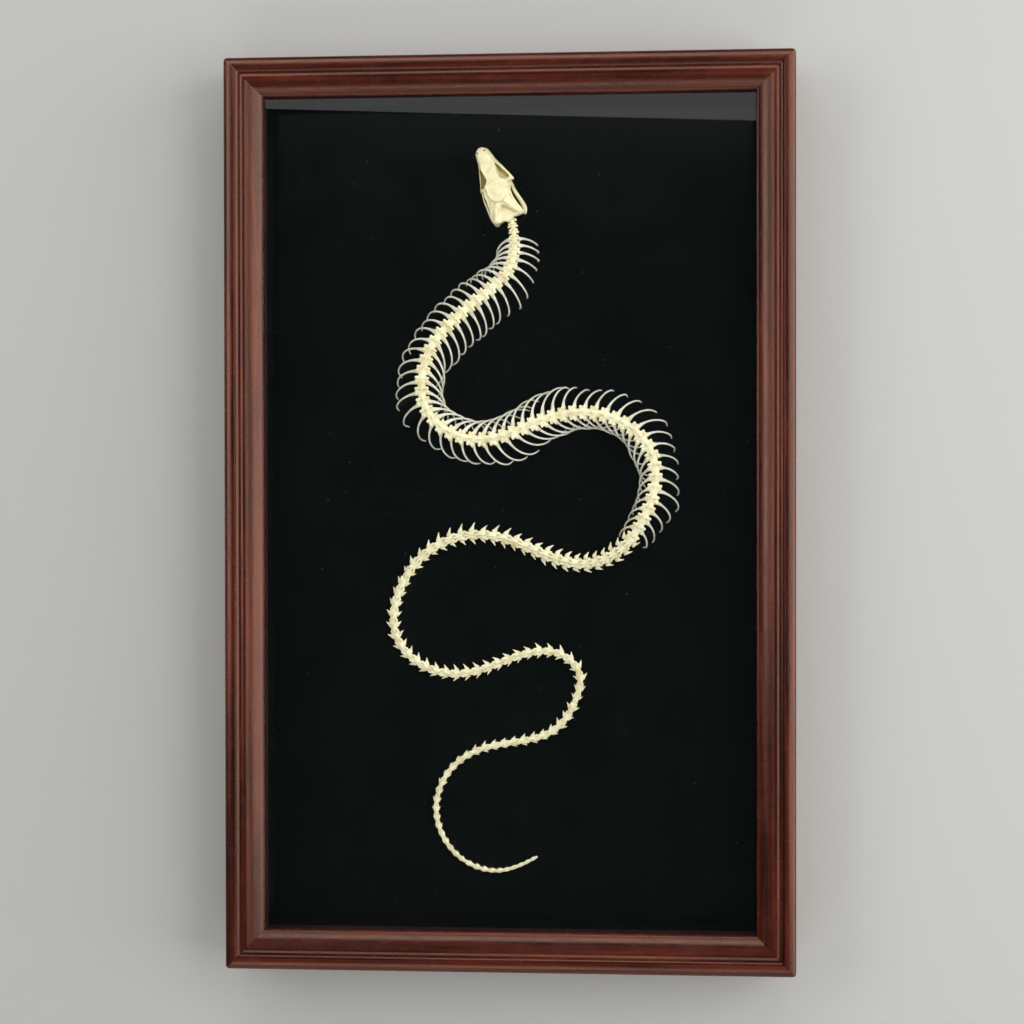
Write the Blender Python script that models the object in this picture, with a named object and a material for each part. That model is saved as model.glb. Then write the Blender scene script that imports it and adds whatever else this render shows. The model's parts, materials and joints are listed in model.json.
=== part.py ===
"""Skeleton of a sheltopusik, a large legless lizard, laid out in curves inside a glazed mahogany wall case.

Metres, +Z up. The wall is the plane y = 0 and the case faces -Y, so the animal's back is turned to the viewer.
The origin is the middle of the flat back of the top rail, where the case touches the wall.
"""
import math
import random

import bmesh
import bpy
import numpy as np
from mathutils import Matrix, Vector

MM = 0.001
GAP = 0.3 * MM

# Case
CASE_WIDTH = 344 * MM
CASE_HEIGHT = 552 * MM
CASE_DEPTH = 45 * MM
RAIL_WIDTH = 23 * MM
REBATE_FROM_SIDE = 15 * MM
LIP_BACK = 33.8 * MM
SIGHT_FACE = 37.4 * MM
CORNER_RADIUS = 3 * MM
CORNER_FACET_TURN = math.radians(22.5)
GLASS_THICKNESS = 2 * MM
SPACER_THICKNESS = 4.7 * MM
BOARD_THICKNESS = 4 * MM
PANEL_THICKNESS = 3 * MM
PANEL_RECESS = 1.6 * MM
POINT_SIZE = (9 * MM, 1 * MM, 12 * MM)
POINTS_PER_SIDE = 2
HANGER_SIZE = (46 * MM, 1.6 * MM, 8 * MM)
HANGER_OFFSET = 110 * MM
HANGER_POCKET_DEPTH = 4 * MM
HANGER_TEETH = 9

# Depths from the wall, worked out from the wall forwards
PANEL_FRONT = PANEL_RECESS + PANEL_THICKNESS
BOARD_FRONT = PANEL_FRONT + GAP + BOARD_THICKNESS
GLASS_FRONT = LIP_BACK - GAP
SPACER_FRONT = GLASS_FRONT - GLASS_THICKNESS - GAP
ORIGIN_HEIGHT = CASE_HEIGHT / 2 - REBATE_FROM_SIDE / 2

# Backbone: the route of its middle over the board, chosen by hand from skull to tail tip, in mm from the middle
BACKBONE_ROUTE = (
    (1, 180.5), (3, 166), (0, 149), (-9.5, 138.5), (-29.5, 122), (-48, 101), (-53.5, 77), (-51, 65),
    (-36.5, 51.5), (-14.5, 46.5), (16, 56.5), (50, 62), (73, 53), (87, 34), (87.5, 13), (80, -5.5),
    (69, -20.5), (48, -30.5), (27, -27.5), (0, -16.5), (-28, -13.5), (-52.5, -24.5), (-69, -48), (-71, -75),
    (-49, -96), (-27, -98), (6, -87), (30.5, -86.5), (42, -98.5), (40.5, -112), (27.5, -132), (-3.5, -141.5),
    (-25.5, -148), (-40, -161), (-46.5, -183), (-32, -212), (-7, -220), (15.5, -211.5),
)
NECK_START = 1.2
NECK_COUNT = 3
TRUNK_LENGTHS = (14, 14, 13, 14)
CLOACA_COUNT = 3
TAIL_BREAKS = (506, 690, 847)

# Distance along the backbone in mm, then the value there
PITCH = ((0, 3.6), (20, 4.1), (30, 4.8), (45, 5.5), (80, 6.0), (120, 6.4), (240, 6.4), (260, 6.7), (345, 6.6), (362, 6.0),
         (385, 6.3), (410, 6.8), (520, 6.75), (650, 6.6), (720, 6.3), (790, 5.7), (840, 5.1), (895, 4.3))
COLUMN_HEIGHT = ((0, 11.6), (45, 15.0), (325, 15.0), (385, 4.7), (560, 3.9), (760, 2.95), (850, 2.3), (900, 1.75))
TAIL_SCALE = ((345, 1.3), (395, 1.05), (560, 0.95), (700, 0.8), (800, 0.62), (850, 0.5), (900, 0.36))
PROCESS_REACH = ((352, 7.0), (470, 6.8), (510, 5.4), (640, 5.2), (690, 4.4), (740, 4.0), (790, 3.1), (850, 2.2), (898, 1.2))
TAIL_LEAN = 0.25
SIDE_CUT = 0.15 * MM

# Ribs
RIB_REACH = {
    "left": ((12, 12), (25, 14), (60, 15), (95, 13.5), (108, 16), (130, 18.5), (142, 14), (165, 15), (190, 17),
             (204, 13.5), (240, 11), (265, 11), (278, 14.5), (298, 10.5), (320, 9), (350, 7)),
    "right": ((12, 13), (18, 15), (28, 16), (38, 19), (48, 17), (66, 18.5), (85, 18.5), (95, 15), (125, 13.5), (155, 11.5),
              (175, 12.5), (225, 14.5), (235, 13.5), (270, 17), (290, 14.5), (304, 13.5), (314, 17), (326, 13),
              (350, 9)),
}
RIB_SWEEP = {
    "left": ((12, 11), (35, 11), (52, 9), (80, 12), (110, 12), (130, 9), (150, 14), (185, 15), (205, 20), (280, 20),
             (300, 14), (350, 8)),
    "right": ((12, 3), (25, 2.5), (36, 5), (55, 10), (68, 8.5), (85, 15), (96, 22), (190, 22), (212, 18), (230, 10),
              (255, 8), (270, 12), (300, 7), (318, 11), (335, 9), (350, 4)),
}
RIB_TURN = {
    "left": ((12, 112), (95, 122), (125, 105), (150, 115), (195, 112), (205, 122), (350, 118)),
    "right": ((12, 80), (40, 92), (55, 108), (90, 112), (120, 124), (190, 124), (215, 108), (240, 90), (300, 94),
              (316, 112), (350, 90)),
}
RIB_DROP_TURN = 112
RIB_TIP_KINK = 1.8 * MM
RIB_FORWARD = 1.4 * MM
RIB_ROOT_INSET = 1.3 * MM
RIB_STEPS = 5
RIB_SIDES = 3
RIB_FLOOR = 0.45 * MM
RIB_THICKNESS = (1.5 * MM, 0.95 * MM, 0.72 * MM, 0.62 * MM, 0.5 * MM)
RIB_ROOT_BEHIND = 1.6
RIB_ROOT_RISE = 0.3 * MM

# Skull, on an axis from the snout backwards
SNOUT = (-18.1 * MM, 223.6 * MM)
SKULL_TURN = math.radians(23.3)
SKULL_ROLL = math.radians(8.5)
SKULL_HEIGHT = 6.8 * MM


def material(name, colour, roughness, metallic=0.0):
    """Make a plain material."""
    made = bpy.data.materials.new(name)
    made.use_nodes = True
    shader = made.node_tree.nodes["Principled BSDF"]
    shader.inputs["Base Color"].default_value = (*colour, 1.0)
    shader.inputs["Roughness"].default_value = roughness
    shader.inputs["Metallic"].default_value = metallic
    return made


def add_object(name, mesh, collection, parent=None):
    """Put a mesh in the scene under a name."""
    made = bpy.data.objects.new(name, mesh)
    collection.objects.link(made)
    made.parent = parent
    return made


def add_collection(name, is_tool=False):
    """Make a collection, hidden from renders where it only holds tools."""
    made = bpy.data.collections.new(name)
    bpy.context.scene.collection.children.link(made)
    made.hide_render = is_tool
    return made


def box(name, size, centre, collection, parent=None):
    """Make a box of a size about a centre."""
    bm = bmesh.new()
    bmesh.ops.create_cube(bm, size=1.0, matrix=Matrix.Diagonal((*size, 1.0)))
    mesh = bpy.data.meshes.new(name)
    bm.to_mesh(mesh)
    bm.free()
    made = add_object(name, mesh, collection, parent)
    made.location = centre
    return made


def closed_mesh(name, rings, tip=None):
    """Loft a closed mesh through rings that have the same number of points, ending in a tip where one is given."""
    bm = bmesh.new()
    loops = [[bm.verts.new(point) for point in ring] for ring in rings]
    count = len(loops[0])
    for one, other in zip(loops, loops[1:]):
        for index in range(count):
            after = (index + 1) % count
            bm.faces.new((one[index], one[after], other[after], other[index]))
    bm.faces.new(list(reversed(loops[0])))
    if tip is None:
        bm.faces.new(loops[-1])
    else:
        end = bm.verts.new(tip)
        for index in range(count):
            bm.faces.new((loops[-1][index], loops[-1][(index + 1) % count], end))
    bmesh.ops.triangulate(bm, faces=bm.faces[:])
    bmesh.ops.recalc_face_normals(bm, faces=bm.faces[:])
    mesh = bpy.data.meshes.new(name)
    bm.to_mesh(mesh)
    bm.free()
    return mesh


def keep_largest_surface(mesh):
    """Delete all but the largest connected surface of a mesh."""
    bm = bmesh.new()
    bm.from_mesh(mesh)
    left = set(bm.verts)
    largest = set()
    while left:
        group = {left.pop()}
        border = list(group)
        while border:
            vert = border.pop()
            for edge in vert.link_edges:
                other = edge.other_vert(vert)
                if other not in group:
                    group.add(other)
                    border.append(other)
        left -= group
        if len(group) > len(largest):
            largest = group
    bmesh.ops.delete(bm, geom=[vert for vert in bm.verts if vert not in largest], context="VERTS")
    bm.to_mesh(mesh)
    bm.free()


def apply_boolean(target, others, operation, solver="MANIFOLD"):
    """Join a collection of closed meshes to an object, or cut them from it, and remove them."""
    modifier = target.modifiers.new("joined", "BOOLEAN")
    modifier.operation = operation
    modifier.solver = solver
    modifier.operand_type = "COLLECTION"
    modifier.collection = others
    graph = bpy.context.evaluated_depsgraph_get()
    result = bpy.data.meshes.new_from_object(target.evaluated_get(graph))
    target.modifiers.clear()
    target.data = result
    for tool in list(others.objects):
        bpy.data.objects.remove(tool)
    bpy.data.collections.remove(others)
    keep_largest_surface(target.data)


def read_curve(pairs, distance):
    """Read a value from pairs of distance and value, easing from each to the next."""
    if distance <= pairs[0][0]:
        return pairs[0][1]
    for (start, low), (end, high) in zip(pairs, pairs[1:]):
        if distance <= end:
            share = (distance - start) / (end - start)
            eased = share * share * (3 - 2 * share)
            return low + (high - low) * eased
    return pairs[-1][1]


def spline_values(stations, values, samples):
    """Read a natural cubic spline through values at stations."""
    count = len(stations)
    gaps = np.diff(stations)
    slopes = np.diff(values) / gaps
    system = np.eye(count)
    target = np.zeros(count)
    for index in range(1, count - 1):
        system[index, index - 1] = gaps[index - 1]
        system[index, index] = 2 * (gaps[index - 1] + gaps[index])
        system[index, index + 1] = gaps[index]
        target[index] = 6 * (slopes[index] - slopes[index - 1])
    bends = np.linalg.solve(system, target)
    spans = np.clip(np.searchsorted(stations, samples, side="right") - 1, 0, count - 2)
    gap = gaps[spans]
    before = (samples - stations[spans]) / gap
    after = 1 - before
    curved = (after**3 - after) * bends[spans] + (before**3 - before) * bends[spans + 1]
    return after * values[spans] + before * values[spans + 1] + curved * gap**2 / 6


class Backbone:
    """The smooth middle line of the backbone over the board."""

    def __init__(self, route, step=0.25):
        points = np.array(route, dtype=float)
        stations = np.concatenate(([0.0], np.cumsum(np.hypot(*np.diff(points, axis=0).T))))
        samples = np.arange(0.0, stations[-1], step)
        self.across = spline_values(stations, points[:, 0], samples)
        self.up = spline_values(stations, points[:, 1], samples)
        self.along = np.concatenate(([0.0], np.cumsum(np.hypot(np.diff(self.across), np.diff(self.up)))))
        self.length = float(self.along[-1])

    def point(self, along):
        """Give the middle line's place, in mm."""
        return Vector((np.interp(along, self.along, self.across), 0.0, np.interp(along, self.along, self.up)))

    def direction(self, along, reach=1.0):
        """Give the way the tail lies."""
        start = max(along - reach, 0.0)
        end = min(along + reach, self.length)
        return (self.point(end) - self.point(start)).normalized()

    def side(self, along):
        """Give the way to the animal's right."""
        tailward = self.direction(along)
        return Vector((-tailward.z, 0.0, tailward.x))

    def height(self, along):
        """Give how far the middle of the column stands off the board, in metres."""
        return read_curve(COLUMN_HEIGHT, along) * MM

    def place(self, along, side, rise):
        """Give the place beside and above the middle of the column; along in mm, the others in metres."""
        base = self.point(along) * MM + self.side(along) * side
        base.y = -(BOARD_FRONT + self.height(along) + rise)
        if along > self.length:
            base += self.direction(self.length) * (along - self.length) * MM
        if along < 0:
            base += self.direction(0.0) * along * MM
        return base


def arc(centre, radius, start, end, steps):
    """List points on an arc, in degrees from start to end."""
    angles = [math.radians(start + (end - start) * step / steps) for step in range(steps + 1)]
    return [(centre[0] + radius * math.cos(angle), centre[1] + radius * math.sin(angle)) for angle in angles]


def rail_profile():
    """Outline a rail's section in mm: distance in from the case's outer side, and distance out from the wall."""
    depth = CASE_DEPTH / MM
    shoulder = arc((6, depth - 6), 6, 180, 90, 5)
    cove = arc((9.4, depth - 0.3), 2.5, 180, 270, 4)
    bead = arc((11.2, depth - 2.9), 1.3, 160, 20, 4)
    slope = [(14.5, depth - 3.2), (17, depth - 3.9), (19.2, depth - 5), (21.8, depth - 6.9), (22.4, depth - 7.6)]
    lip = [(RAIL_WIDTH / MM, SIGHT_FACE / MM), (RAIL_WIDTH / MM, LIP_BACK / MM)]
    rebate = [(REBATE_FROM_SIDE / MM, LIP_BACK / MM), (REBATE_FROM_SIDE / MM, 0)]
    return [(0, 0), *shoulder, *cove, *bead, *slope, *lip, *rebate]


def rail(name, length, turn, location, collection, parent):
    """Make a moulded rail with mitred ends and eased corners, its outer side on its own plane x = 0."""
    curve = bpy.data.curves.new(name, "CURVE")
    curve.dimensions = "2D"
    curve.fill_mode = "BOTH"
    curve.extrude = length / 2
    points = rail_profile()
    outline = curve.splines.new("POLY")
    outline.points.add(len(points) - 1)
    for target, (inwards, outwards) in zip(outline.points, points):
        target.co = (inwards * MM, -outwards * MM, 0.0, 1.0)
    outline.use_cyclic_u = True
    drawn = bpy.data.objects.new(name, curve)
    collection.objects.link(drawn)
    bm = bmesh.new()
    bm.from_mesh(bpy.data.meshes.new_from_object(drawn.evaluated_get(bpy.context.evaluated_depsgraph_get())))
    bpy.data.objects.remove(drawn)
    bmesh.ops.remove_doubles(bm, verts=bm.verts[:], dist=MM / 100)
    for end in (-1, 1):
        normal = Vector((1.0, 0.0, end)).normalized()
        plane = Vector((0.0, 0.0, end * length / 2)) - normal * GAP / 2
        geometry = bm.verts[:] + bm.edges[:] + bm.faces[:]
        bmesh.ops.bisect_plane(bm, geom=geometry, plane_co=plane, plane_no=normal, clear_outer=True)
        bmesh.ops.holes_fill(bm, edges=[edge for edge in bm.edges if edge.is_boundary])
        facing = Vector((-math.cos(CORNER_FACET_TURN), 0.0, end * math.sin(CORNER_FACET_TURN)))
        facet = Vector((CORNER_RADIUS, 0.0, end * (length / 2 - CORNER_RADIUS))) + facing * CORNER_RADIUS
        geometry = bm.verts[:] + bm.edges[:] + bm.faces[:]
        bmesh.ops.bisect_plane(bm, geom=geometry, plane_co=facet, plane_no=facing, clear_outer=True)
        bmesh.ops.holes_fill(bm, edges=[edge for edge in bm.edges if edge.is_boundary])
    bmesh.ops.dissolve_limit(bm, angle_limit=math.radians(0.2), verts=bm.verts[:], edges=bm.edges[:])
    bmesh.ops.triangulate(bm, faces=bm.faces[:])
    bmesh.ops.recalc_face_normals(bm, faces=bm.faces[:])
    mesh = bpy.data.meshes.new(name)
    bm.to_mesh(mesh)
    bm.free()
    made = add_object(name, mesh, collection, parent)
    made.rotation_euler = (0.0, turn, 0.0)
    made.location = location
    return made


def build_case(collection, parent):
    """Make the rails, glass, spacers, boards and back fittings."""
    wood = material("mahogany", (0.09, 0.022, 0.012), 0.25)
    rails = {
        "frame_left": (CASE_HEIGHT, 0.0, (-CASE_WIDTH / 2, 0.0, 0.0)),
        "frame_right": (CASE_HEIGHT, math.pi, (CASE_WIDTH / 2, 0.0, 0.0)),
        "frame_top": (CASE_WIDTH, math.pi / 2, (0.0, 0.0, CASE_HEIGHT / 2)),
        "frame_bottom": (CASE_WIDTH, -math.pi / 2, (0.0, 0.0, -CASE_HEIGHT / 2)),
    }
    for name, (length, turn, location) in rails.items():
        rail(name, length, turn, location, collection, parent).data.materials.append(wood)
    cut_hanger_pockets(bpy.data.objects["frame_top"])

    inner_width = CASE_WIDTH - 2 * (REBATE_FROM_SIDE + GAP)
    inner_height = CASE_HEIGHT - 2 * (REBATE_FROM_SIDE + GAP)
    sheets = (
        ("glass", GLASS_THICKNESS, GLASS_FRONT, material("glass", (0.9, 0.95, 0.93), 0.02)),
        ("mount_board", BOARD_THICKNESS, BOARD_FRONT, material("black board", (0.004, 0.005, 0.005), 0.35)),
        ("back_panel", PANEL_THICKNESS, PANEL_FRONT, material("hardboard", (0.16, 0.09, 0.045), 0.7)),
    )
    for name, thickness, front, finish in sheets:
        size = (inner_width, thickness, inner_height)
        centre = (0.0, -(front - thickness / 2), 0.0)
        box(name, size, centre, collection, parent).data.materials.append(finish)

    spacer_depth = SPACER_FRONT - BOARD_FRONT - GAP
    spacer_middle = -(BOARD_FRONT + GAP + spacer_depth / 2)
    lining = material("stained lining", (0.05, 0.014, 0.009), 0.45)
    side_offset = inner_width / 2 - SPACER_THICKNESS / 2
    end_offset = inner_height / 2 - SPACER_THICKNESS / 2
    end_width = inner_width - 2 * (SPACER_THICKNESS + GAP)
    spacers = {
        "spacer_left": ((SPACER_THICKNESS, spacer_depth, inner_height), (-side_offset, spacer_middle, 0.0)),
        "spacer_right": ((SPACER_THICKNESS, spacer_depth, inner_height), (side_offset, spacer_middle, 0.0)),
        "spacer_top": ((end_width, spacer_depth, SPACER_THICKNESS), (0.0, spacer_middle, end_offset)),
        "spacer_bottom": ((end_width, spacer_depth, SPACER_THICKNESS), (0.0, spacer_middle, -end_offset)),
    }
    for name, (size, centre) in spacers.items():
        box(name, size, centre, collection, parent).data.materials.append(lining)
    build_back_fittings(collection, parent, inner_width, inner_height)


def cut_hanger_pockets(top_rail):
    """Sink the pockets of both hangers into the back of the top rail."""
    tools = add_collection("hanger_pocket_cutters", is_tool=True)
    size = (HANGER_SIZE[2] + 2 * GAP, 2 * HANGER_POCKET_DEPTH, HANGER_SIZE[0] + 2 * GAP)
    for side in (-1, 1):
        cutter = box("hanger_pocket", size, (0.0, 0.0, 0.0), tools)
        cutter.data.transform(Matrix.Translation((REBATE_FROM_SIDE / 2, 0.0, side * HANGER_OFFSET)))
        cutter.matrix_basis = top_rail.matrix_basis
        cutter.parent = top_rail.parent
    bpy.context.view_layer.update()
    apply_boolean(top_rail, tools, "DIFFERENCE")


def build_back_fittings(collection, parent, inner_width, inner_height):
    """Make the points that hold the back panel, and the saw-tooth hangers in their pockets."""
    steel = material("plated steel", (0.55, 0.54, 0.5), 0.35, 1.0)
    length, thickness, width = POINT_SIZE
    middle = -(PANEL_RECESS - GAP - thickness / 2)
    for side in (-1, 1):
        for index in range(POINTS_PER_SIDE):
            rise = inner_height * ((index + 0.5) / POINTS_PER_SIDE - 0.5)
            centre = (side * (inner_width - length) / 2, middle, rise)
            name = f"point_{'left' if side < 0 else 'right'}_{index + 1}"
            box(name, (length, thickness, width), centre, collection, parent).data.materials.append(steel)
        for index in range(POINTS_PER_SIDE):
            across = inner_width * ((index + 0.5) / POINTS_PER_SIDE - 0.5)
            centre = (across, middle, side * (inner_height - length) / 2)
            name = f"point_{'bottom' if side < 0 else 'top'}_{index + 1}"
            box(name, (width, thickness, length), centre, collection, parent).data.materials.append(steel)
    for side, side_name in ((-1, "left"), (1, "right")):
        hanger = saw_tooth_hanger("hanger_" + side_name, side * HANGER_OFFSET, collection, parent)
        hanger.data.materials.append(steel)


def saw_tooth_hanger(name, across, collection, parent):
    """Make a flat hanger with teeth along its lower edge."""
    length, thickness, height = HANGER_SIZE
    tooth = length * 0.6 / HANGER_TEETH
    first = -HANGER_TEETH / 2 * tooth
    stations = [(-length / 2, 0.0)]
    for index in range(HANGER_TEETH):
        stations += [(first + index * tooth, 0.0), (first + (index + 0.5) * tooth, tooth / 2)]
    stations += [(-first, 0.0), (length / 2, 0.0)]
    front = -(HANGER_POCKET_DEPTH - GAP)
    rise = CASE_HEIGHT / 2 - REBATE_FROM_SIDE / 2
    rings = []
    for out, notch in stations:
        low = rise - height / 2 + notch
        high = rise + height / 2
        corners = ((front, low), (front + thickness, low), (front + thickness, high), (front, high))
        rings.append([Vector((across + out, depth, level)) for depth, level in corners])
    return add_object(name, closed_mesh(name, rings), collection, parent)


def column_ring(spine, along, half_width, wing_rise, top, centrum, bottom, side, lead=0.0):
    """Ring one half of a vertebra, with its flat middle face; side is -1 for the left half."""
    start = spine.place(along, side * SIDE_CUT, 0.0)
    points = (
        (SIDE_CUT, top, 0.0),
        (0.7 * MM, top - 0.1 * MM, 0.0),
        (half_width * 0.5, wing_rise + (top - wing_rise) * 0.25, 0.0),
        (half_width, wing_rise, lead),
        (centrum, -bottom * 0.3, 0.0),
        (centrum * 0.6, -bottom, 0.0),
        (SIDE_CUT, -bottom, 0.0),
    )
    ring = [spine.place(along + shift, side * out, rise) for out, rise, shift in points]
    ring[0].y = start.y - top
    return ring


def trunk_rings(spine, starts, ends, side, scale):
    """List the rings of a run of half vertebrae."""
    rings = []
    for start, end in zip(starts, ends):
        pitch = end - start
        size = scale(start)
        sections = (
            (0.04, 4.7, 1.3, 2.2, 2.5, 2.3, -0.7),
            (0.42, 2.9, 0.8, 3.0, 2.2, 2.0, 0.0),
            (0.78, 4.2, 1.7, 3.9, 2.4, 2.2, 0.5),
        )
        for share, wide, wing, top, centrum, bottom, lead in sections:
            along = start + share * pitch
            if not rings:
                along += GAP / MM / 2
                lead = 0.0
            sizes = [value * size * MM for value in (wide, wing, top, centrum, bottom)]
            rings.append(column_ring(spine, along, *sizes, side, lead))
    last = ends[-1] - GAP / MM / 2
    sizes = [value * scale(last) * MM for value in (2.6, 1.0, 2.2, 2.1, 2.1)]
    rings.append(column_ring(spine, last, *sizes, side))
    return rings


def rib_path(spine, along, side, reach, sweep, turn, kink):
    """List points along one rib, curving out, back and down to the board from inside its vertebra."""
    drop = spine.height(along) + RIB_ROOT_RISE - RIB_FLOOR
    turn = math.radians(turn)
    drop_turn = math.radians(RIB_DROP_TURN)
    widest = math.sin(min(turn, math.pi / 2))
    path = []
    for step in range(RIB_STEPS + 1):
        share = step / RIB_STEPS
        bowed = share**1.15
        out = RIB_ROOT_INSET + (reach - RIB_ROOT_INSET) * math.sin(turn * bowed) / widest
        back = sweep * share**1.5 - RIB_FORWARD * math.sin(math.pi * share) * (1 - share)
        rise = RIB_ROOT_RISE - drop * (1 - math.cos(drop_turn * share)) / (1 - math.cos(drop_turn))
        if step == RIB_STEPS:
            out -= kink
        point = spine.point(along) * MM + spine.side(along) * side * out + spine.direction(along) * back
        point.y = -(BOARD_FRONT + spine.height(along) + rise)
        path.append(point)
    return path


def rib_mesh(path):
    """Make one tapering rib along its path."""
    rings = []
    for index, point in enumerate(path[:-1]):
        tangent = (path[index + 1] - path[max(index - 1, 0)]).normalized()
        across = tangent.cross(Vector((0.0, 1.0, 0.0))).normalized()
        other = across.cross(tangent)
        radius = RIB_THICKNESS[index]
        turns = [2 * math.pi * corner / RIB_SIDES for corner in range(RIB_SIDES)]
        rings.append([point + (across * math.cos(a) + other * math.sin(a)) * radius for a in turns])
    return closed_mesh("rib", rings, path[-1])


def rib_path_at(spine, start, side, side_name, draw):
    """List points along the rib of the vertebra that starts there, a little unlike its neighbours."""
    reach = read_curve(RIB_REACH[side_name], start) * MM * draw.uniform(0.95, 1.05)
    sweep = read_curve(RIB_SWEEP[side_name], start) * MM * draw.uniform(0.9, 1.1)
    turn = read_curve(RIB_TURN[side_name], start)
    kink = RIB_TIP_KINK * draw.random() ** 2
    return rib_path(spine, start + RIB_ROOT_BEHIND, side, reach, sweep, turn, kink)


def build_trunk(spine, marks, collection, parent, bone):
    """Make the trunk in a few lengths, each in a left and a right half with its ribs."""
    draw = random.Random(7)
    first = NECK_COUNT
    done = 0
    for length_index, count in enumerate(TRUNK_LENGTHS):
        starts = marks[first + done:first + done + count]
        ends = marks[first + done + 1:first + done + count + 1]
        for side, side_name in ((-1, "left"), (1, "right")):
            name = f"trunk_{length_index + 1}_{side_name}"
            column = closed_mesh(name, trunk_rings(spine, starts, ends, side, trunk_scale))
            made = add_object(name, column, collection, parent)
            ribs = add_collection(name + "_ribs", is_tool=True)
            for start in starts:
                path = rib_path_at(spine, start, side, side_name, draw)
                add_object("rib", rib_mesh(path), ribs, parent)
            bpy.context.view_layer.update()
            apply_boolean(made, ribs, "UNION")
            made.data.materials.clear()
            made.data.materials.append(bone)
        done += count


def trunk_scale(along):
    """Give how large a vertebra is there, against one of the middle trunk."""
    return read_curve(((0, 0.8), (60, 1.05), (330, 1.05), (375, 0.92)), along)


def full_ring(spine, along, half_width, top, bottom, reaches=None, lead=0.0):
    """Ring a whole vertebra, with its right and left side points drawn out to reaches where they are given."""
    right, left = reaches or (half_width, half_width)
    points = (
        (0.0, top, 0.0),
        (half_width * 0.55, top * 0.45, 0.0),
        (right, 0.1 * top, lead),
        (half_width * 0.6, -bottom * 0.65, 0.0),
        (0.0, -bottom, 0.0),
        (-half_width * 0.6, -bottom * 0.65, 0.0),
        (-left, 0.1 * top, lead),
        (-half_width * 0.55, top * 0.45, 0.0),
    )
    return [spine.place(along + shift, out, rise) for out, rise, shift in points]


def neck_rings(spine, starts, ends):
    """List the rings of the neck."""
    rings = []
    for start, end in zip(starts, ends):
        for share, wide, top, bottom in ((0.0, 3.4, 2.2, 2.4), (0.45, 2.2, 2.6, 2.0), (0.8, 2.8, 3.4, 2.6)):
            along = start + share * (end - start) + (0 if rings else GAP / MM)
            rings.append(full_ring(spine, along, wide * MM, top * MM, bottom * MM))
    rings.append(full_ring(spine, ends[-1] - GAP / MM / 2, 2.6 * MM, 2.2 * MM, 2.2 * MM))
    return rings


def tail_rings(spine, starts, ends, jitter):
    """List the rings of a run of tail vertebrae, with the side processes leaning to the head."""
    rings = []
    for start, end in zip(starts, ends):
        pitch = end - start
        scale = read_curve(TAIL_SCALE, start)
        reach = read_curve(PROCESS_REACH, start) * jitter.uniform(0.88, 1.1)
        wide = 3.0 * scale
        front = start + 0.1 * pitch
        rings.append(full_ring(spine, front, wide * MM, 1.9 * scale * MM, 2.2 * scale * MM))
        process = max(reach, wide * 1.1)
        lead = -0.6 * (process - wide)
        along = start + 0.4 * pitch
        lift = TAIL_LEAN * spine.side(along).z
        reaches = [(wide + (process - wide) * (1 + side * lift)) * MM for side in (1, -1)]
        rings.append(full_ring(spine, along, 2.2 * scale * MM, 2.0 * scale * MM, 1.9 * scale * MM, reaches, lead))
        rings.append(full_ring(spine, start + 0.66 * pitch, 2.1 * scale * MM, 3.4 * scale * MM, 3.6 * scale * MM))
    scale = read_curve(TAIL_SCALE, ends[-1])
    rings.append(full_ring(spine, ends[-1] - GAP / MM / 2, 2.0 * scale * MM, 1.7 * scale * MM, 1.9 * scale * MM))
    return rings


def skull_matrix():
    """Give the skull's frame: x to the animal's right, y forwards to the snout at 0, z up off the board."""
    forward = Vector((-math.sin(SKULL_TURN), 0.0, math.cos(SKULL_TURN)))
    up = Vector((0.0, -1.0, 0.0))
    right = Vector((math.cos(SKULL_TURN), 0.0, math.sin(SKULL_TURN)))
    rolled_up = up * math.cos(SKULL_ROLL) - right * math.sin(SKULL_ROLL)
    rolled_right = right * math.cos(SKULL_ROLL) + up * math.sin(SKULL_ROLL)
    frame = Matrix((rolled_right, forward, rolled_up)).transposed().to_4x4()
    frame.translation = Vector((SNOUT[0], -(BOARD_FRONT + SKULL_HEIGHT), SNOUT[1]))
    return frame


def skull_section(back, half_width, roof_half_width, top, bottom, keel):
    """Outline the skull across, in mm in its own frame."""
    side = (
        (roof_half_width, top),
        (roof_half_width + (half_width - roof_half_width) * 0.6, top * 0.78),
        (half_width, top * 0.45),
        (half_width * 0.97, bottom),
        (half_width * 0.72, bottom + 0.3),
        (half_width * 0.36, keel + 0.2),
    )
    left = [(-out, rise) for out, rise in side]
    outline = [(0.0, top + 0.25), *side, (0.0, keel), *reversed(left)]
    return [Vector((out, -back, rise)) * MM for out, rise in outline]


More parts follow.
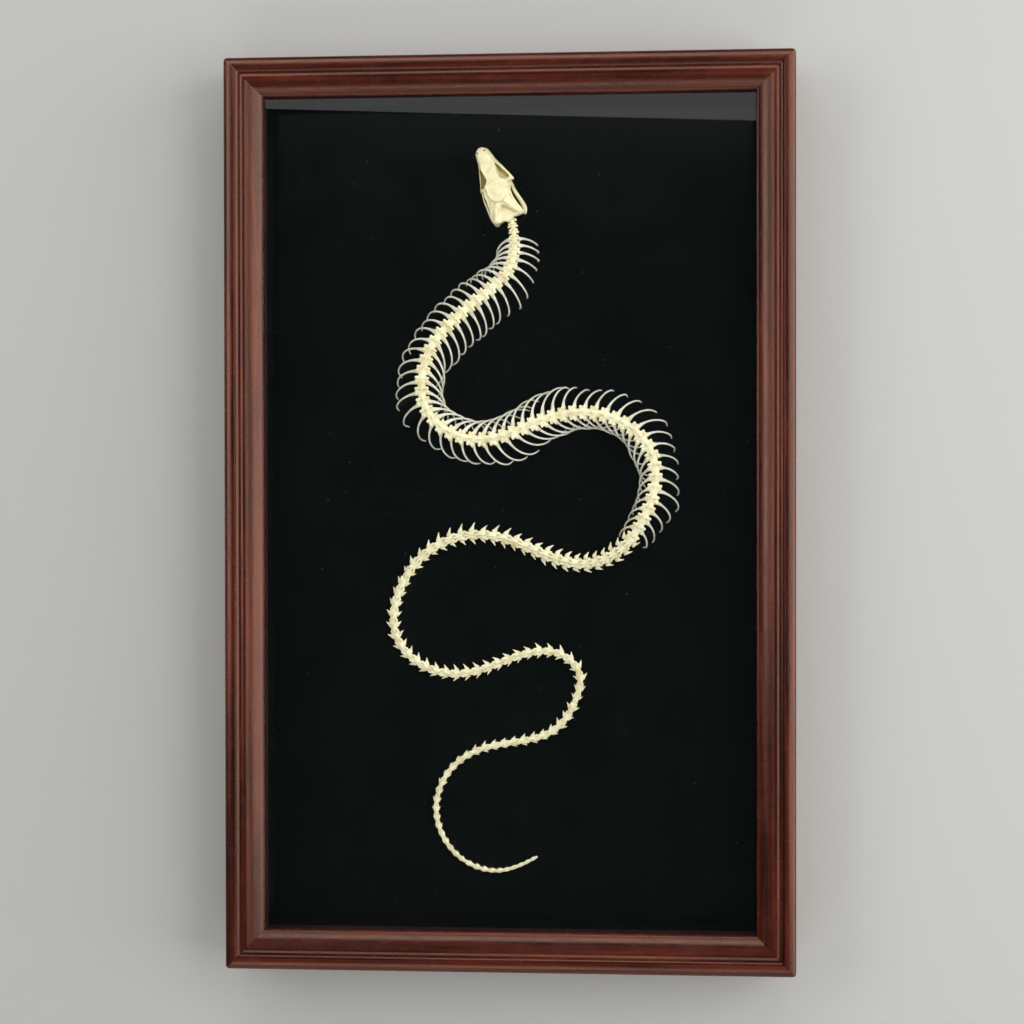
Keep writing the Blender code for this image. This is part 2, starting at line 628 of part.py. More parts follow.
def build_skull(collection, parent, bone):
    """Make the skull with its orbits, temporal slits, hind notch and the hollow between the cheeks."""
    sections = (
        (0.0, 1.3, 0.8, 3.4, 1.4, 1.2), (1.4, 3.2, 1.9, 4.8, 0.8, 0.8), (4.0, 4.5, 2.6, 6.0, 0.3, 0.8),
        (9.5, 5.5, 3.3, 7.4, 0.0, 1.2), (14.0, 6.8, 4.2, 8.6, 0.0, 1.8), (19.0, 8.5, 4.6, 9.6, 0.0, 2.2),
        (24.5, 11.0, 5.3, 10.5, 0.0, 2.4), (28.0, 10.3, 5.8, 11.0, 0.8, 2.2), (32.0, 9.2, 6.0, 11.2, 2.2, 2.0),
        (37.0, 9.2, 6.2, 11.2, 2.6, 1.8), (42.0, 9.7, 7.0, 10.6, 1.4, 1.8), (46.0, 9.8, 8.0, 9.4, 0.4, 2.0),
        (47.6, 9.2, 8.2, 7.6, 0.6, 2.2),
    )
    frame = skull_matrix()
    rings = [skull_section(*section) for section in sections]
    mesh = closed_mesh("skull", rings)
    mesh.transform(frame)
    made = add_object("skull", mesh, collection, parent)
    tools = add_collection("skull_cutters", is_tool=True)
    for side in (-1, 1):
        ellipsoid(tools, (side * 7.2, -19.0, 8.6), (2.6, 5.8, 5.6), frame, side * -20, parent)
        ellipsoid(tools, (side * 7.4, -34.5, 11.6), (0.9, 5.0, 4.0), frame, side * -8, parent, fineness=1)
        ellipsoid(tools, (side * 10.6, -34.5, 5.6), (2.4, 7.2, 3.4), frame, side * 3, parent)
        ellipsoid(tools, (side * 2.2, -2.6, 5.6), (0.9, 1.7, 1.2), frame, side * -48, parent, fineness=1)
    ellipsoid(tools, (0.0, -46.5, 13.4), (5.6, 8.6, 5.6), frame, 0, parent)
    ellipsoid(tools, (0.0, -50.8, 4.8), (5.4, 4.6, 3.7), frame, 12, parent)
    ellipsoid(tools, (0.0, -36.0, -1.4), (5.6, 13.0, 4.6), frame, 0, parent)
    bpy.context.view_layer.update()
    apply_boolean(made, tools, "DIFFERENCE")
    made.data.materials.clear()
    made.data.materials.append(bone)


def ellipsoid(collection, centre, radii, frame, turn, parent, fineness=2):
    """Make an ellipsoid in the skull's frame, in mm, turned in degrees about the skull's up."""
    bm = bmesh.new()
    bmesh.ops.create_icosphere(bm, subdivisions=fineness, radius=1.0)
    mesh = bpy.data.meshes.new("ellipsoid")
    bm.to_mesh(mesh)
    bm.free()
    size = Matrix.Diagonal((*[radius * MM for radius in radii], 1.0))
    spot = Matrix.Translation(Vector(centre) * MM) @ Matrix.Rotation(math.radians(turn), 4, "Z")
    mesh.transform(frame @ spot @ size)
    return add_object("ellipsoid", mesh, collection, parent)


def build_lower_jaw(collection, parent, bone):
    """Make both branches of the lower jaw as one bent bar, joined at the chin."""
    half = (
        (48.6, 8.4, 0.9, 1.8, -0.8), (45.5, 10.0, 1.3, 3.0, -0.8), (40.0, 10.9, 1.3, 4.0, -0.2),
        (33.0, 10.8, 1.2, 5.0, 0.6), (28.0, 10.0, 1.0, 5.6, 0.2), (24.0, 9.1, 1.1, 4.6, -0.5),
        (18.0, 7.3, 1.1, 3.6, -0.5), (10.0, 4.9, 1.1, 2.8, -0.5), (4.5, 3.3, 1.1, 2.4, -0.3), (2.2, 1.4, 1.1, 2.2, 0.0),
    )
    frame = skull_matrix()
    stations = [(-1, station) for station in half] + [(1, station) for station in reversed(half)]
    rings = []
    middles = [Vector((side * out, -back, 0.0)) for side, (back, out, _, _, _) in stations]
    for index, (_, (_, _, thick, deep, top)) in enumerate(stations):
        before = middles[max(index - 1, 0)]
        after = middles[min(index + 1, len(middles) - 1)]
        across = (after - before).normalized().cross(Vector((0.0, 0.0, 1.0)))
        corners = ((0.8, top), (1.1, top - deep * 0.55), (0.3, top - deep), (-0.7, top - deep * 0.7), (-0.7, top))
        ring = []
        for sideways, rise in corners:
            point = middles[index] + across * thick * sideways
            point.z = rise
            ring.append(frame @ (point * MM))
        rings.append(ring)
    made = add_object("lower_jaw", closed_mesh("lower_jaw", rings), collection, parent)
    made.data.materials.append(bone)


def vertebra_marks(spine):
    """List where each vertebra starts along the backbone, and where the last one ends, in mm."""
    marks = [NECK_START]
    while marks[-1] < spine.length - 2:
        marks.append(marks[-1] + read_curve(PITCH, marks[-1]))
    marks[-1] = spine.length
    return marks


def build_skeleton(collection, parent):
    """Make the skull, jaw, neck, trunk, cloacal region and tail."""
    bone = material("bone", (0.83, 0.77, 0.55), 0.5)
    spine = Backbone(BACKBONE_ROUTE)
    marks = vertebra_marks(spine)
    build_skull(collection, parent, bone)
    build_lower_jaw(collection, parent, bone)
    neck = closed_mesh("neck", neck_rings(spine, marks[:NECK_COUNT], marks[1:NECK_COUNT + 1]))
    add_object("neck", neck, collection, parent).data.materials.append(bone)
    build_trunk(spine, marks, collection, parent, bone)
    jitter = random.Random(11)
    first = NECK_COUNT + sum(TRUNK_LENGTHS)
    tail_first = first + CLOACA_COUNT
    breaks = [min(range(len(marks)), key=lambda index: abs(marks[index] - place)) for place in TAIL_BREAKS]
    bounds = [first, tail_first, *breaks, len(marks) - 1]
    names = ["cloaca"] + [f"tail_{index + 1}" for index in range(len(TAIL_BREAKS) + 1)]
    for name, begin, end in zip(names, bounds, bounds[1:]):
        rings = tail_rings(spine, marks[begin:end], marks[begin + 1:end + 1], jitter)
        add_object(name, closed_mesh(name, rings), collection, parent).data.materials.append(bone)


def main():
    """Clear the scene and build the case with the skeleton in it."""
    for old in list(bpy.data.objects):
        bpy.data.objects.remove(old)
    origin = bpy.data.objects.new("case_middle", None)
    bpy.context.scene.collection.objects.link(origin)
    origin.location = (0.0, 0.0, -ORIGIN_HEIGHT)
    build_case(add_collection("case"), origin)
    build_skeleton(add_collection("skeleton"), origin)


main()
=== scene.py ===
"""Looks of a sheltopusik skeleton, laid out in curves inside a glazed mahogany wall case.

Metres, +Z up. The wall is the plane y = 0 and the case faces -Y, so the animal's back is turned to the
viewer. The bones are built one by one along the same middle line and from the same tables as the solids
that they replace.
"""
from __future__ import annotations

import json
import logging
import math
import random
from dataclasses import dataclass
from enum import Enum

import bmesh
import bpy
import numpy as np
from mathutils import Matrix, Quaternion, Vector
from mathutils.bvhtree import BVHTree

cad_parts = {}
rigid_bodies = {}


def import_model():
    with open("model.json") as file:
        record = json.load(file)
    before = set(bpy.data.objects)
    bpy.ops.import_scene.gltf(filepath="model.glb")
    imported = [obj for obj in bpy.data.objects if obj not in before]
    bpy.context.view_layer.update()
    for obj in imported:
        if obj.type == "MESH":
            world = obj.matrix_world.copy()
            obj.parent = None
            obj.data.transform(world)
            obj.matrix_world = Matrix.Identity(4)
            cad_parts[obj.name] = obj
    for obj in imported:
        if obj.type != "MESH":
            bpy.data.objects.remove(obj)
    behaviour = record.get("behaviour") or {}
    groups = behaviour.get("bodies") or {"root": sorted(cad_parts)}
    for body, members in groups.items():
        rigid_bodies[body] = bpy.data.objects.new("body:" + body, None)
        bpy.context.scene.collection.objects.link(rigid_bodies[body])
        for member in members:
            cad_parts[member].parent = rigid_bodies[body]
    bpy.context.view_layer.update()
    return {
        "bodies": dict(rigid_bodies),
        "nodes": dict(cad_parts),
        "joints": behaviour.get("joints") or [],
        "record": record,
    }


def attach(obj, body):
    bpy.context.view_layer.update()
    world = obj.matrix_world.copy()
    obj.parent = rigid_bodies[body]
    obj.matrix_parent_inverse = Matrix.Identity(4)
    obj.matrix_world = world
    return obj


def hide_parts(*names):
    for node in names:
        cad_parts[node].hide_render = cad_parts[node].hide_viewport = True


MM = 0.001
BODY = "root"
LOG = logging.getLogger("wall_case")

Pairs = tuple[tuple[float, float], ...]
Colour = tuple[float, float, float]
Ring = list[Vector]
Points = list[tuple[float, float]]


class Side(Enum):
    """The animal's left and right, as the sign of the distance to its right."""

    LEFT = -1
    RIGHT = 1

    @property
    def word(self) -> str:
        """Give the side's name as pieces and nodes carry it."""
        return self.name.lower()


class Grain(Enum):
    """Which way the wood of a piece runs."""

    UPRIGHT = "Z"
    LEVEL = "X"


def srgb(red: int, green: int, blue: int) -> Colour:
    """Turn a display colour into a linear one.

    Args:
        red: Red, 0 to 255.
        green: Green, 0 to 255.
        blue: Blue, 0 to 255.

    Returns:
        The same colour as linear light, 0 to 1.
    """

    def linear(value: int) -> float:
        """Turn one channel into linear light."""
        share = value / 255
        return share / 12.92 if share <= 0.04045 else ((share + 0.055) / 1.055) ** 2.4

    return linear(red), linear(green), linear(blue)


def read_curve(pairs: Pairs, distance: float | np.ndarray) -> float | np.ndarray:
    """Read values from pairs of distance and value, easing from each to the next.

    Args:
        pairs: Distances with their values, in rising order.
        distance: Where to read, one place or many.

    Returns:
        The value at each place, held level past both ends.
    """
    stations = np.array([pair[0] for pair in pairs], dtype=float)
    values = np.array([pair[1] for pair in pairs], dtype=float)
    place = np.clip(distance, stations[0], stations[-1])
    spans = np.clip(np.searchsorted(stations, place, side="right") - 1, 0, len(pairs) - 2)
    share = (place - stations[spans]) / (stations[spans + 1] - stations[spans])
    eased = share * share * (3 - 2 * share)
    return values[spans] + (values[spans + 1] - values[spans]) * eased


def spline_values(stations: np.ndarray, values: np.ndarray, samples: np.ndarray) -> np.ndarray:
    """Read a natural cubic spline through values at stations.

    Args:
        stations: Where the values stand, in rising order.
        values: The values there.
        samples: Where to read the spline.

    Returns:
        The spline's value at each sample.
    """
    count = len(stations)
    gaps = np.diff(stations)
    slopes = np.diff(values) / gaps
    system = np.eye(count)
    target = np.zeros(count)
    for index in range(1, count - 1):
        system[index, index - 1] = gaps[index - 1]
        system[index, index] = 2 * (gaps[index - 1] + gaps[index])
        system[index, index + 1] = gaps[index]
        target[index] = 6 * (slopes[index] - slopes[index - 1])
    bends = np.linalg.solve(system, target)
    spans = np.clip(np.searchsorted(stations, samples, side="right") - 1, 0, count - 2)
    gap = gaps[spans]
    before = (samples - stations[spans]) / gap
    after = 1 - before
    curved = (after**3 - after) * bends[spans] + (before**3 - before) * bends[spans + 1]
    return after * values[spans] + before * values[spans + 1] + curved * gap**2 / 6


def arc(centre: tuple[float, float], radius: float, start: float, end: float, steps: int) -> Points:
    """List points on an arc.

    Args:
        centre: The arc's middle.
        radius: Its radius.
        start: The first angle, in degrees.
        end: The last angle, in degrees.
        steps: How many straight steps it is cut into.

    Returns:
        The points from start to end.
    """
    angles = [math.radians(start + (end - start) * step / steps) for step in range(steps + 1)]
    return [(centre[0] + radius * math.cos(angle), centre[1] + radius * math.sin(angle)) for angle in angles]


def loft(name: str, rings: list[Ring]) -> bpy.types.Mesh:
    """Skin rings of equal count into one closed mesh, with a fan over each end.

    Args:
        name: The mesh's name.
        rings: The rings, in order.

    Returns:
        The closed mesh, its faces pointing out.
    """
    bm = bmesh.new()
    rows = [[bm.verts.new(point) for point in ring] for ring in rings]
    count = len(rows[0])
    for row, after in zip(rows, rows[1:]):
        for index in range(count):
            following = (index + 1) % count
            bm.faces.new((row[index], row[following], after[following], after[index]))
    for row in (rows[0], rows[-1]):
        middle = bm.verts.new(sum((vert.co for vert in row), Vector()) / count)
        for index in range(count):
            bm.faces.new((row[index], row[(index + 1) % count], middle))
    bmesh.ops.recalc_face_normals(bm, faces=bm.faces)
    mesh = bpy.data.meshes.new(name)
    bm.to_mesh(mesh)
    bm.free()
    return mesh


def tube_rings(path: list[Vector], radii: list[float], sides: int, flat: float, up: Vector) -> list[Ring]:
    """Ring a path, so that it can be lofted into a bar.

    Args:
        path: The bar's middle line.
        radii: The bar's radius at each point, across.
        sides: How many points a ring has.
        flat: The radius along the up way, as a share of that across.
        up: The way that the flat side faces.

    Returns:
        One ring for each point of the path.
    """
    rings = []
    for index, point in enumerate(path):
        tangent = (path[min(index + 1, len(path) - 1)] - path[max(index - 1, 0)]).normalized()
        across = tangent.cross(up).normalized()
        other = across.cross(tangent)
        turns = [2 * math.pi * corner / sides for corner in range(sides)]
        radius = radii[index]
        rings.append(
            [point + across * math.cos(a) * radius + other * math.sin(a) * radius * flat for a in turns]
        )
    return rings


def add_piece(
    name: str, mesh: bpy.types.Mesh, finish: bpy.types.Material, nodes: tuple[str, ...] = ()
) -> bpy.types.Object:
    """Put a finished piece in the scene, riding on the case.

    Args:
        name: The piece's name.
        mesh: Its mesh, in the frame's place.
        finish: Its material.
        nodes: The solids that it stands for.

    Returns:
        The new object.
    """
    piece = bpy.data.objects.new(name, mesh)
    bpy.context.scene.collection.objects.link(piece)
    mesh.materials.clear()
    mesh.materials.append(finish)
    mesh.shade_smooth()
    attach(piece, BODY)
    if nodes:
        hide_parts(*nodes)
    return piece


def settle_modifiers(piece: bpy.types.Object) -> bpy.types.Mesh:
    """Turn an object with its modifiers into a plain mesh and remove the object.

    Args:
        piece: The object.

    Returns:
        The finished mesh.
    """
    bpy.context.view_layer.update()
    evaluated = piece.evaluated_get(bpy.context.evaluated_depsgraph_get())
    mesh = bpy.data.meshes.new_from_object(evaluated)
    old = piece.data
    bpy.data.objects.remove(piece)
    bpy.data.meshes.remove(old)
    return mesh


class Clay:
    """Simple forms, in mm, that are gathered and blended into the closed surface of one bone."""

    def __init__(self, name: str) -> None:
        """Start with nothing in it."""
        self.name = name
        self.forms = bmesh.new()

    def ball(self, centre: tuple[float, ...], radii: tuple[float, ...], turn: float = 0.0) -> None:
        """Add an ellipsoid.

        Args:
            centre: Its middle.
            radii: Its half sizes.
            turn: Its turn about up, in degrees.
        """
        spot = Matrix.Translation(Vector(centre))
        turned = Matrix.Rotation(math.radians(turn), 4, "Z")
        size = Matrix.Diagonal((*radii, 1.0))
        bmesh.ops.create_icosphere(self.forms, subdivisions=3, radius=1.0, matrix=spot @ turned @ size)

    def bar(self, path: list[tuple[float, ...]], radii: list[float], flat: float = 1.0) -> None:
        """Add a round or flattened bar with rounded ends.

        Args:
            path: The points of its middle line.
            radii: Its radius at each point, across.
            flat: Its height as a share of its width.
        """
        points = [Vector(point) for point in path]
        mesh = loft("bar", tube_rings(points, radii, 12, flat, Vector((0.0, 0.0, 1.0))))
        self.forms.from_mesh(mesh)
        bpy.data.meshes.remove(mesh)
        for point, radius in ((points[0], radii[0]), (points[-1], radii[-1])):
            size = Matrix.Diagonal((radius, radius, radius * flat, 1.0))
            spot = Matrix.Translation(point)
            bmesh.ops.create_icosphere(self.forms, subdivisions=2, radius=1.0, matrix=spot @ size)

    def ball_pair(self, centre: tuple[float, ...], radii: tuple[float, ...], turn: float = 0.0) -> None:
        """Add an ellipsoid on the right and its mirror image on the left.

        Args:
            centre: The right one's middle.
            radii: Its half sizes.
            turn: Its turn about up, in degrees.
        """
        for side in Side:
            self.ball((centre[0] * side.value, *centre[1:]), radii, turn * side.value)

    def bar_pair(self, path: list[tuple[float, ...]], radii: list[float], flat: float = 1.0) -> None:
        """Add a bar on the right and its mirror image on the left.

        Args:
            path: The right one's middle line.
            radii: Its radius at each point, across.
            flat: Its height as a share of its width.
        """
        for side in Side:
            self.bar([(point[0] * side.value, *point[1:]) for point in path], radii, flat)

    def prism(self, outline: Points, low: float, high: float, taper: float = 1.0) -> None:
        """Add an upright block with a rounded outline.

        Args:
            outline: Its corners from above.
            low: The level of its underside.
            high: The level of its top.
            taper: The size of its underside as a share of its top.
        """
        middle = Vector((sum(x for x, _ in outline), sum(y for _, y in outline))) / len(outline)
        rings = []
        for level, size in ((low, taper), ((low + high) / 2, (1 + taper) / 2), (high, 1.0)):
            corners = [middle + (Vector(corner) - middle) * size for corner in outline]
            rings.append(smooth_ring([(corner.x, corner.y, level) for corner in corners], 5))
        mesh = loft("prism", rings)
        self.forms.from_mesh(mesh)
        bpy.data.meshes.remove(mesh)

    def prism_pair(self, outline: Points, low: float, high: float, taper: float = 1.0) -> None:
        """Add an upright block on the right and its mirror image on the left.

        Args:
            outline: The right one's corners from above.
            low: The level of its underside.
            high: The level of its top.
            taper: The size of its underside as a share of its top.
        """
        for side in Side:
            self.prism([(x * side.value, y) for x, y in outline], low, high, taper)

    def blended(self, voxel: float, smoothing: int, keep: float) -> bpy.types.Mesh:
        """Blend all forms into one closed surface.

        Args:
            voxel: The finest detail kept, in mm.
            smoothing: How many rounds of smoothing follow.
            keep: The share of faces kept at the end.

        Returns:
            The bone's mesh, in mm.
        """
        mesh = bpy.data.meshes.new(self.name)
        self.forms.to_mesh(mesh)
        self.forms.free()
        piece = bpy.data.objects.new(self.name, mesh)
        bpy.context.scene.collection.objects.link(piece)
        remesh = piece.modifiers.new("blend", "REMESH")
        remesh.mode = "VOXEL"
        remesh.voxel_size = voxel
        smooth = piece.modifiers.new("smooth", "SMOOTH")
        smooth.iterations = smoothing
        fewer = piece.modifiers.new("fewer", "DECIMATE")
        fewer.ratio = keep
        return settle_modifiers(piece)


class Graph:
    """A material's nodes, ending in a Principled shader."""

    def __init__(self, name: str) -> None:
        """Make an empty material."""
        self.material = bpy.data.materials.new(name)
        self.material.use_nodes = True
        self.tree = self.material.node_tree
        self.shader = self.tree.nodes["Principled BSDF"]

    def node(self, kind: str, **inputs: object) -> bpy.types.Node:
        """Add a node and feed its inputs.

        Args:
            kind: The node's type, without its leading words.
            inputs: Values or outputs for its inputs, their names with underscores for spaces.

        Returns:
            The node.
        """
        made = self.tree.nodes.new("ShaderNode" + kind)
        for name, value in inputs.items():
            self.feed(made.inputs[name.replace("_", " ")], value)
        return made

    def feed(self, target: bpy.types.NodeSocket, value: object) -> None:
        """Join an output to an input, or set the input's own value.

        Args:
            target: The input.
            value: An output or a plain value.
        """
        if isinstance(value, bpy.types.NodeSocket):
            self.tree.links.new(value, target)
        else:
            target.default_value = value

    def place(self, stretch: tuple[float, float, float] = (1.0, 1.0, 1.0)) -> bpy.types.NodeSocket:
        """Give the place on the piece, in metres, stretched along the axes.

        Args:
            stretch: How fast a pattern runs along each axis.

        Returns:
            The output with the place.
        """
        spot = self.node("TexCoord").outputs["Object"]
        return self.node("Mapping", Vector=spot, Scale=stretch).outputs["Vector"]

    def noise(
        self, spot: bpy.types.NodeSocket, scale: float, detail: float = 3.0, twist: float = 0.0
    ) -> bpy.types.NodeSocket:
        """Add a cloudy pattern.

        Args:
            spot: Where on the piece.
            scale: How many blotches there are in a metre.
            detail: How many finer layers it has.
            twist: How far it is distorted.

        Returns:
            The output, about 0.3 to 0.7.
        """
        return self.node("TexNoise", Vector=spot, Scale=scale, Detail=detail, Distortion=twist).outputs["Fac"]

    def ramp(self, source: bpy.types.NodeSocket, *stops: tuple[float, Colour]) -> bpy.types.NodeSocket:
        """Colour a pattern.

        Args:
            source: The pattern.
            stops: Places from 0 to 1, each with its colour.

        Returns:
            The output with the colour.
        """
        made = self.node("ValToRGB", Fac=source)
        ends = made.color_ramp.elements
        while len(ends) < len(stops):
            ends.new(0.5)
        for element, (position, colour) in zip(ends, stops):
            element.position = position
            element.color = (*colour, 1.0)
        return made.outputs["Color"]

    def span(
        self, source: bpy.types.NodeSocket, low: float, high: float, to_low: float, to_high: float
    ) -> bpy.types.NodeSocket:
        """Move a pattern from one span of values to another.

        Args:
            source: The pattern.
            low: The lower end of its span.
            high: The upper end of its span.
            to_low: What the lower end becomes.
            to_high: What the upper end becomes.

        Returns:
            The output.
        """
        made = self.node("MapRange", Value=source)
        for name, value in (("From Min", low), ("From Max", high), ("To Min", to_low), ("To Max", to_high)):
            made.inputs[name].default_value = value
        return made.outputs["Result"]

    def mixed(self, share: object, first: object, second: object) -> bpy.types.NodeSocket:
        """Blend two colours.

        Args:
            share: How much of the second one, 0 to 1.
            first: The first colour.
            second: The second colour.

        Returns:
            The output with the blend.
        """
        made = self.tree.nodes.new("ShaderNodeMix")
        made.data_type = "RGBA"
        for index, value in ((0, share), (6, first), (7, second)):
            colour = (*value, 1.0) if isinstance(value, tuple) and len(value) == 3 else value
            self.feed(made.inputs[index], colour)
        return made.outputs[2]

    def bump(self, source: bpy.types.NodeSocket, depth: float, strength: float = 1.0) -> None:
        """Let a pattern roughen the surface.

        Args:
            source: The pattern.
            depth: How deep it goes, in metres.
            strength: How strongly it shows.
        """
        made = self.node("Bump", Height=source, Distance=depth, Strength=strength)
        self.feed(self.shader.inputs["Normal"], made.outputs["Normal"])

    def done(self, **inputs: object) -> bpy.types.Material:
        """Feed the shader itself.

        Args:
            inputs: Values or outputs for its inputs, their names with underscores for spaces.

        Returns:
            The finished material.
        """
        for name, value in inputs.items():
            self.feed(self.shader.inputs[name.replace("_", " ")], value)
        return self.material


@dataclass(frozen=True)
class Mahogany:
    """Dark red varnished wood with its grain along the rail."""

    grain: Grain
    dark: Colour = srgb(40, 12, 8)
    middle: Colour = srgb(76, 25, 16)
    light: Colour = srgb(104, 42, 27)
    sheen: Colour = srgb(255, 206, 184)
    shine: float = 0.85
    stretch: float = 0.035
    figure_scale: float = 210.0
    pore_scale: float = 2600.0
    pore_depth: float = 0.05 * MM

    def build(self) -> bpy.types.Material:
        """Make the material."""
        graph = Graph(f"mahogany_{self.grain.name.lower()}")
        upright = self.grain is Grain.UPRIGHT
        stretch = (1.0, 1.0, self.stretch) if upright else (self.stretch, 1.0, 1.0)
        spot = graph.place(stretch)
        figure = graph.noise(spot, self.figure_scale, 5.0, 0.8)
        pores = graph.noise(spot, self.pore_scale, 2.0)
        colour = graph.ramp(figure, (0.34, self.dark), (0.52, self.middle), (0.68, self.light))
        streaked = graph.mixed(graph.span(pores, 0.5, 0.72, 0.0, 0.6), colour, self.dark)
        rough = graph.span(graph.noise(graph.place(), 90.0), 0.3, 0.7, 0.2, 0.31)
        graph.bump(pores, self.pore_depth, 0.6)
        tint = (*self.sheen, 1.0)
        return graph.done(
            Base_Color=streaked, Roughness=rough, Specular_IOR_Level=self.shine, Specular_Tint=tint
        )


@dataclass(frozen=True)
class Bone:
    """Cleaned, slightly greasy bone, with painted shade darkening its hollows where the mesh carries a
    measure of how hidden they are.
    """

    name: str = "bone"
    pale: Colour = srgb(238, 232, 196)
    warm: Colour = srgb(232, 223, 182)
    stain: Colour = srgb(218, 206, 160)
    # Painted shade: the olive-brown colour that is mixed in where surrounding bone hides a point from light.
    painted_shade: Colour = srgb(176, 164, 84)
    painted_shade_share: float = 0.0
    blotch_scale: float = 210.0
    grit_scale: float = 2300.0
    grit_depth: float = 0.06 * MM

    def build(self) -> bpy.types.Material:
        """Make the material."""
        graph = Graph(self.name)
        spot = graph.place()
        blotches = graph.noise(spot, self.blotch_scale, 4.0, 0.4)
        grit = graph.noise(spot, self.grit_scale, 3.0)
        colour = graph.ramp(blotches, (0.33, self.stain), (0.45, self.warm), (0.6, self.pale))
        # Painted shade: darken the colour by the share of rays that the surrounding bone blocks.
        if self.painted_shade_share > 0:
            depth = graph.node("Attribute")
            depth.attribute_name = "painted_shade"
            share = graph.span(depth.outputs["Fac"], 0.35, 0.85, 0.0, self.painted_shade_share)
            colour = graph.mixed(share, colour, self.painted_shade)
        graph.bump(grit, self.grit_depth, 0.5)
        rough = graph.span(grit, 0.3, 0.7, 0.42, 0.6)
        return graph.done(Base_Color=colour, Roughness=rough)


@dataclass(frozen=True)
class Sheet:
    """A flat material with a faint mottle and, where asked for, specks of dust."""

    name: str
    dark: Colour
    light: Colour
    scale: float = 60.0
    roughness: float = 0.4
    metallic: float = 0.0
    sheen: float = 0.5
    specks: float = 0.0
    depth: float = 0.03 * MM

    def build(self) -> bpy.types.Material:
        """Make the material."""
        graph = Graph(self.name)
        spot = graph.place()
        mottle = graph.noise(spot, self.scale, 4.0)
        colour = graph.ramp(mottle, (0.35, self.dark), (0.65, self.light))
        if self.specks > 0:
            dust = graph.node("TexVoronoi", Vector=spot, Scale=self.specks).outputs["Distance"]
            colour = graph.mixed(graph.span(dust, 0.02, 0.045, 0.6, 0.0), colour, srgb(96, 100, 96))
        graph.bump(graph.noise(spot, self.scale * 20, 2.0), self.depth, 0.4)
        rough = graph.span(mottle, 0.3, 0.7, self.roughness * 0.85, self.roughness * 1.15)
        return graph.done(
            Base_Color=colour, Roughness=rough, Metallic=self.metallic, Specular_IOR_Level=self.sheen
        )


@dataclass(frozen=True)
class Glazing:
    """Clear sheet glass."""

    tint: Colour = (0.985, 0.995, 0.99)
    index: float = 1.5

    def build(self) -> bpy.types.Material:
        """Make the material."""
        graph = Graph("glass")
        return graph.done(
            Base_Color=(*self.tint, 1.0), Roughness=0.0, IOR=self.index, Transmission_Weight=1.0
        )


